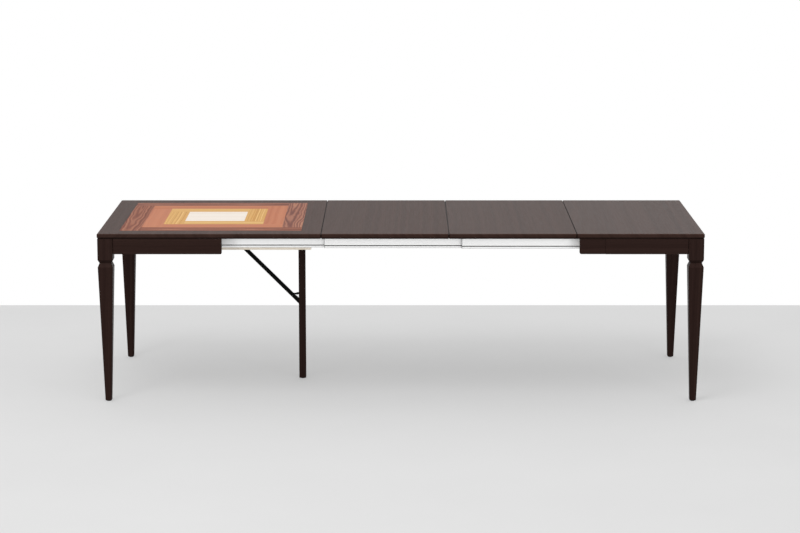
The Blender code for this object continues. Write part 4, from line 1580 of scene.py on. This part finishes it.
@dataclass
class Guides:
    """Aluminium rails in five stages on each side, with the wooden bearers and spacers that carry them."""

    shop: Workshop
    thickness: float = 0.0145
    gap: float = 0.0015
    groove_low: float = 0.0117
    groove_high: float = 0.0090
    mouth: float = 0.004
    lip: float = 0.002
    room: float = 0.007
    depth: float = 0.004
    clearance: float = 0.0004
    arris: float = 0.0008
    lower_arris: float = 0.0036
    inner_arris: float = 0.0002
    round_steps: int = 3
    # length of the dark caps that paint the shade line at each rail end
    cap: float = 0.0014
    # thickness of the dark sheets that paint shade in the grooves
    strip: float = 0.0003
    strip_ease: float = 0.0001
    wood_ease: float = BATTEN_EASE
    screw_spots: tuple[float, ...] = (0.06, 0.36, 0.66, 0.94)

    def build(self) -> None:
        """Make the rails, bearers and spacers of both sides, and the screws under the bearers."""
        for side in Side:
            for stage in Stage:
                self.build_rail(f"{side.word}_{stage.value}_rail", side, stage)
            for word in ("bearer", "spacer"):
                node = f"{side.word}_{word}"
                self.shop.stand_in(node, block(*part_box(node), self.wood_ease), PALE_WOOD)
            self.screws(f"{side.word}_bearer")

    def build_rail(self, node: str, side: Side, stage: Stage) -> None:
        """A rail, its section carried along X, with dark end caps and thin dark sheets that paint shade.

        Args:
            node: the rail's node.
            side: front or back.
            stage: which rail of the guide it is.
        """
        low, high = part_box(node)
        outer = low.y if side is Side.FRONT else high.y
        levels = (low.z + self.groove_low, high.z - self.groove_high)
        table = self.section(low.z, high.z, levels, stage)
        corners = np.stack([outer - side.value * table[:, 0], table[:, 1]], -1)
        # Dark caps at both ends paint the shade line where one rail meets the next.
        start, stop = low.x + self.cap, high.x - self.cap
        rail, first, last = (
            prism(corners, Axis.X, span, self.inner_arris, table[:, 2], steps=self.round_steps)
            for span in ((start, stop), (low.x, start), (stop, high.x))
        )
        self.shop.stand_in(node, rail, ALUMINIUM)
        self.shop.piece(node, "end_caps", join(first, last), BLACK_PLASTIC, is_extra=True)
        # Thin dark sheets on the grooves' back walls: painted shade inside the grooves.
        if stage.has_grooves:
            back = self.lip + self.depth
            near, far = sorted(outer - side.value * np.array([back - self.strip, back]))
            half, ease = self.room / 2 - self.clearance, self.strip_ease
            strips = (
                block(Vector((start, near, level - half)), Vector((stop, far, level + half)), ease)
                for level in levels
            )
            self.shop.piece(node, "slide_strips", join(*strips), BLACK_PLASTIC, is_extra=True)

    def section(self, low: float, high: float, levels: Pair, stage: Stage) -> Array:
        """A rail's section: rows of depth behind the outer face, height and corner radius.

        Args:
            low: height of the lower face.
            high: height of the upper face.
            levels: heights of the grooves' and ribs' middles.
            stage: which rail of the guide it is.

        Returns:
            The section's corners in order, (k, 3).
        """
        section = [(0.0, low, self.lower_arris), (self.thickness, low, self.arris)]
        if stage.has_ribs:
            for level in levels:
                section += self.rib(level)
        section += [(self.thickness, high, self.arris), (0.0, high, self.arris)]
        if stage.has_grooves:
            for level in reversed(levels):
                section += self.groove(level)
        return np.array(section)

    def rib(self, level: float) -> list[Triple]:
        """A T-shaped rib on the inner face, from below upwards.

        Args:
            level: height of its middle.

        Returns:
            Rows of depth, height and corner radius.
        """
        neck = self.mouth / 2 - self.clearance
        head = self.room / 2 - self.clearance
        root = self.thickness + self.gap + self.lip
        near, far = root + self.clearance, root + self.depth - self.clearance
        return self.mirrored(level, [(self.thickness, -neck), (near, -neck), (near, -head), (far, -head)])

    def groove(self, level: float) -> list[Triple]:
        """A T-shaped groove in the outer face, from above downwards.

        Args:
            level: height of its middle.

        Returns:
            Rows of depth, height and corner radius.
        """
        mouth, room = self.mouth / 2, self.room / 2
        back = self.lip + self.depth
        return self.mirrored(level, [(0.0, mouth), (self.lip, mouth), (self.lip, room), (back, room)])

    def mirrored(self, level: float, half: list[Pair]) -> list[Triple]:
        """Both halves of a rib or groove, as depth, height and corner radius.

        Args:
            level: height of its middle.
            half: depth and height above the middle of the first half's corners.

        Returns:
            The corners in order.
        """
        other = [(depth, -height) for depth, height in reversed(half)]
        return [(depth, level + height, self.inner_arris) for depth, height in half + other]

    def screws(self, node: str) -> None:
        """Screw heads along the lower face of a bearer.

        Args:
            node: the bearer's node.
        """
        low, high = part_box(node)
        middle = (low.y + high.y) / 2
        places = [(low.x + (high.x - low.x) * spot, middle, low.z) for spot in self.screw_spots]
        Screws(self.shop).build(node, places)


@dataclass
class Hinge:
    """A cross rail under the top with the bracket and the riveted pin of one hinge."""

    shop: Workshop
    name: str
    wood_ease: float = BATTEN_EASE
    sheet: float = 0.0025
    cheek_round: float = 0.006
    sheet_ease: float = 0.0005
    rivet_spread: float = 1.5
    rivet_lift: float = 0.0001
    rivet_steps: int = 5
    screw_inset: float = 0.030

    def build(self) -> None:
        """Make the cross rail with its screws, the bracket and the pin."""
        rail = f"{self.name}_cross_rail"
        low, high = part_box(rail)
        self.shop.stand_in(rail, block(low, high, self.wood_ease), PALE_WOOD, Axis.Y)
        middle = (low.x + high.x) / 2
        ends = (low.y + self.screw_inset, high.y - self.screw_inset)
        Screws(self.shop).build(rail, [(middle, end, low.z) for end in ends])
        self.shop.stand_in(f"{self.name}_bracket", self.bracket(), BLACK_METAL)
        self.shop.stand_in(f"{self.name}_hinge_pin", self.pin(), STEEL)

    def bracket(self) -> Surface:
        """A plate and two bored cheeks, outlines in X and Z carried through the sheet's thickness.

        Returns:
            The closed surface.
        """
        low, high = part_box(f"{self.name}_bracket")
        holes = (bore(f"{self.name}_hinge_pin"),)
        outline = rectangle((low.x, low.z), (high.x, high.z))
        radii = np.array([self.cheek_round, self.cheek_round, self.sheet_ease, self.sheet_ease])
        front, back = low.y + self.sheet, high.y - self.sheet
        cheeks = (
            prism(outline, Axis.Y, span, self.sheet_ease, radii, holes)
            for span in ((low.y, front), (back, high.y))
        )
        plate_low, plate_high = Vector((low.x, front, high.z - self.sheet)), Vector((high.x, back, high.z))
        return join(*cheeks, block(plate_low, plate_high, self.sheet_ease / 2))

    def pin(self) -> Surface:
        """A rivet: a shaft through the cheeks with a low domed head outside each of them, turned about Y.

        A head's radius falls from its full width to nothing as cos t while it rises as sin t.

        Returns:
            The closed surface.
        """
        low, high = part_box(f"{self.name}_hinge_pin")
        cheek_low, cheek_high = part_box(f"{self.name}_bracket")
        near, far = cheek_low.y - self.rivet_lift, cheek_high.y + self.rivet_lift
        radius = (high.x - low.x) / 2
        turn = np.linspace(0.0, QUARTER, self.rivet_steps + 1)[:-1]
        radii = radius * self.rivet_spread * np.cos(turn)
        first = np.stack([radii, near - (near - low.y) * np.sin(turn)], -1)
        last = np.stack([radii, far + (high.y - far) * np.sin(turn)], -1)
        profile = np.concatenate([first[::-1], [(radius, near), (radius, far)], last])
        return turned(profile, centre_across(low, high, Axis.Y), Axis.Y)


@dataclass
class SupportLeg:
    """The folding leg with its glide, the seat for the brace, and the lug and pin of the latch."""

    shop: Workshop
    edge: float = 0.0012
    edge_steps: int = 10
    foot_round: float = 0.003
    seat_plate: float = 0.003
    brace_angle: float = BRACE_ANGLE
    plate_ease: float = 0.0005
    lug_ease: float = 0.0006
    lug_round: float = 0.002
    pin_ease: float = 0.0005

    def build(self) -> None:
        """Make the leg and what is fixed to it."""
        self.shop.stand_in("support_leg", self.leg(), FRAME_WOOD, Axis.Z)
        Glide(self.shop).build("support_glide")
        self.shop.stand_in("brace_seat", self.seat(), BLACK_METAL)
        self.shop.stand_in("latch_lug", self.lug(), BLACK_METAL)
        pin = round_bar(*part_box("latch_pin"), Axis.Y, self.pin_ease)
        self.shop.stand_in("latch_pin", pin, BLACK_STEEL)

    def leg(self) -> Surface:
        """A square bar with a round upper end, bored for its hinge pin, carried along Y.

        Returns:
            The closed surface.
        """
        low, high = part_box("support_leg")
        corners = rectangle((low.x, low.z), (high.x, high.z))
        top = (high.x - low.x) / 2 - self.edge
        radii = np.array([self.foot_round, self.foot_round, top, top])
        holes = (bore("leg_hinge_pin"),)
        return prism(corners, Axis.Y, (low.y, high.y), self.edge, radii, holes, self.edge_steps)

    def seat(self) -> Surface:
        """A channel that holds the brace's end: a U in plan, carried along Z and slanted like the brace.

        Returns:
            The closed surface.
        """
        low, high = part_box("brace_seat")
        slant = math.tan(self.brace_angle)
        rise = (high.x - low.x) * slant
        plate = high.x - self.seat_plate
        front, back = low.y + self.seat_plate, high.y - self.seat_plate
        outer, inner = self.plate_ease, self.plate_ease / 2
        table = np.array([
            (high.x, low.y, inner), (high.x, high.y, inner), (low.x, high.y, outer), (low.x, back, outer),
            (plate, back, inner), (plate, front, inner), (low.x, front, outer), (low.x, low.y, outer),
        ])
        seat = prism(table[:, :2], Axis.Z, (low.z, high.z - rise), self.plate_ease, table[:, 2])
        seat.points[:, 2] += (high.x - seat.points[:, 0]) * slant
        return seat

    def lug(self) -> Surface:
        """A small block on the leg, bored for the latch pin, carried along Y.

        Returns:
            The closed surface.
        """
        low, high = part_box("latch_lug")
        corners = rectangle((low.x, low.z), (high.x, high.z))
        radii = np.array([self.lug_round, self.lug_ease, self.lug_ease, self.lug_round])
        return prism(corners, Axis.Y, (low.y, high.y), self.lug_ease, radii, (bore("latch_pin"),))


@dataclass
class Brace:
    """The diagonal bar with its catch stud, and the latch hook that holds it."""

    shop: Workshop
    angle: float = BRACE_ANGLE
    depth: float = 0.0178
    edge: float = 0.0008
    edge_steps: int = 6
    end_ease: float = 0.0006
    stud_ease: float = 0.0006
    arm: float = 0.0076
    eye: float = 0.0046
    eye_round: float = 0.85
    neck_reach: float = 1.6
    neck_round: float = 0.001
    nose_round: float = 0.0015
    prong_width: float = 0.0025
    prong_round: float = 0.0008
    notch_round: float = 0.0006
    hook_ease: float = 0.0005
    hook_steps: int = 5

    def build(self) -> None:
        """Make the bar, the stud and the hook."""
        self.shop.stand_in("brace_bar", self.bar(), BLACK_METAL)
        stud = round_bar(*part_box("catch_stud"), Axis.Y, self.stud_ease)
        self.shop.stand_in("catch_stud", stud, BLACK_STEEL)
        self.shop.stand_in("latch_hook", self.hook(), BLACK_METAL)

    def bar(self) -> Surface:
        """A slanting bar with a round upper end and an upright lower end, carried along Y.

        Its outline is drawn level, run by depth, and then turned down by the brace's angle about the pivot.

        Returns:
            The closed surface.
        """
        low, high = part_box("brace_bar")
        pivot = np.array(centre_across(*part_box("brace_hinge_pin"), Axis.Y))
        half = self.depth / 2
        cosine, sine = math.cos(self.angle), math.sin(self.angle)
        run = (high.x - pivot[0]) / cosine
        slant = half * math.tan(self.angle)
        level = np.array([(-half, half), (-half, -half), (run + slant, -half), (run - slant, half)])
        corners = pivot + level @ np.array([(cosine, -sine), (sine, cosine)])
        radii = np.array([half - self.edge, half - self.edge, self.end_ease, self.end_ease])
        holes = (bore("brace_hinge_pin"), bore("catch_stud"))
        return prism(corners, Axis.Y, (low.y, high.y), self.edge, radii, holes, self.edge_steps)

    def hook(self) -> Surface:
        """A flat hook: a bored eye, an arm over the stud and a short prong beyond it, carried along Y.

        Returns:
            The closed surface.
        """
        low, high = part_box("latch_hook")
        x, z = centre_across(*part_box("latch_pin"), Axis.Y)
        half = self.arm / 2
        neck = x - self.neck_reach * self.eye
        prong = low.x + self.prong_width
        eye_round = self.eye * self.eye_round
        table = np.array([
            (high.x, z - self.eye, eye_round), (high.x, z + self.eye, eye_round),
            (x - self.eye, z + self.eye, self.neck_round), (neck, z + half, self.neck_round),
            (low.x, z + half, self.nose_round), (low.x, low.z, self.prong_round),
            (prong, low.z, self.prong_round), (prong, z - half, self.notch_round),
            (neck, z - half, self.neck_round), (x - self.eye, z - self.eye, self.neck_round),
        ])
        span, holes = (low.y, high.y), (bore("latch_pin"),)
        return prism(table[:, :2], Axis.Y, span, self.hook_ease, table[:, 2], holes, self.hook_steps)


# Studio

@dataclass(frozen=True)
class Lamp:
    """One square studio lamp: its name, where it hangs, its side and its power in watts."""

    name: str
    place: Triple
    size: float
    power: float


@dataclass
class Studio:
    """Pale floor, soft light, white surroundings, and the camera at the photograph's angle."""

    camera_place: Triple = (-0.0033, -11.2509, 2.5619)
    camera_pitch: float = math.radians(10.225)
    lens: float = 110.06
    sensor: float = 36.0
    floor_low: Pair = (-30.0, -30.0)
    floor_high: Pair = (30.0, 1.77)
    floor_columns: int = 13
    floor_rows: int = 9
    ambient: float = 0.78
    lamps: tuple[Lamp, ...] = (
        Lamp("key", (-1.6, -3.4, 6.2), 3.4, 130.0),
        Lamp("left", (-5.5, -8.0, 1.9), 2.4, 125.0),
        Lamp("right", (5.5, -8.0, 1.9), 2.4, 125.0),
    )
    lamp_aim: Triple = (0.0, 0.0, 0.4)

    def build(self) -> None:
        """Make the floor, the surroundings, the lamps and the camera."""
        self.build_floor()
        self.build_world()
        for lamp in self.lamps:
            self.build_lamp(lamp)
        self.build_camera()

    def build_floor(self) -> None:
        """A level sheet, S(x, y) = (x, y, 0), that ends where the photograph's floor does."""
        rows, columns = self.floor_rows, self.floor_columns
        x = np.linspace(self.floor_low[0], self.floor_high[0], columns)
        y = np.linspace(self.floor_low[1], self.floor_high[1], rows)
        places = np.stack([*np.meshgrid(x, y), np.zeros((rows, columns))], -1).reshape(-1, 3)
        here = (np.arange(rows - 1)[:, None] * columns + np.arange(columns - 1)[None, :]).ravel()
        quads = np.stack([here, here + 1, here + columns + 1, here + columns], -1)
        mesh = bpy.data.meshes.new("floor")
        mesh.from_pydata(places, [], quads.tolist())
        mesh.materials.append(FLOOR.material())
        set_out("floor", mesh)

    def build_world(self) -> None:
        """White for rays that are seen or mirrored, and an even grey light for the rest."""
        world = bpy.data.worlds.new("studio")
        world.use_nodes = True
        bpy.context.scene.world = world
        bench = Bench(world.node_tree)
        strength = bench.between(bench.seen(), (0.0, 1.0), (self.ambient, 1.0))
        sky = bench.add("ShaderNodeBackground", {"Color": (1.0, 1.0, 1.0, 1.0), "Strength": strength})
        bench.add("ShaderNodeOutputWorld", {"Surface": sky.outputs[0]})

    def build_lamp(self, lamp: Lamp) -> None:
        """A soft square lamp that faces the table and isn't seen itself.

        Args:
            lamp: its name, place, size and power.
        """
        data = bpy.data.lights.new(lamp.name, "AREA")
        data.shape = "SQUARE"
        data.size = lamp.size
        data.energy = lamp.power
        made = set_out(lamp.name, data)
        made.location = lamp.place
        aim = Vector(self.lamp_aim) - Vector(lamp.place)
        made.rotation_euler = aim.to_track_quat("-Z", "Y").to_euler()
        made.visible_camera = False

    def build_camera(self) -> None:
        """The camera, pitched down from a standing height far in front."""
        data = bpy.data.cameras.new("camera")
        data.sensor_width = self.sensor
        data.lens = self.lens
        camera = set_out("camera", data)
        camera.location = self.camera_place
        camera.rotation_euler = (QUARTER - self.camera_pitch, 0.0, 0.0)
        bpy.context.scene.camera = camera
        bpy.context.scene.view_settings.view_transform = "Standard"


def main() -> None:
    """Load the frame, build every sub-assembly on it and set the scene."""
    logging.basicConfig(level=logging.INFO, format="%(name)s: %(message)s")
    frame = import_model()
    shop = Workshop(frame)
    TopPanels(shop).build()
    Inlay(shop).build()
    for end in End:
        HalfFrame(shop, end).build()
    Guides(shop).build()
    for name in ("leg", "brace"):
        Hinge(shop, name).build()
    SupportLeg(shop).build()
    Brace(shop).build()
    Studio().build()


if __name__ == "__main__":
    main()
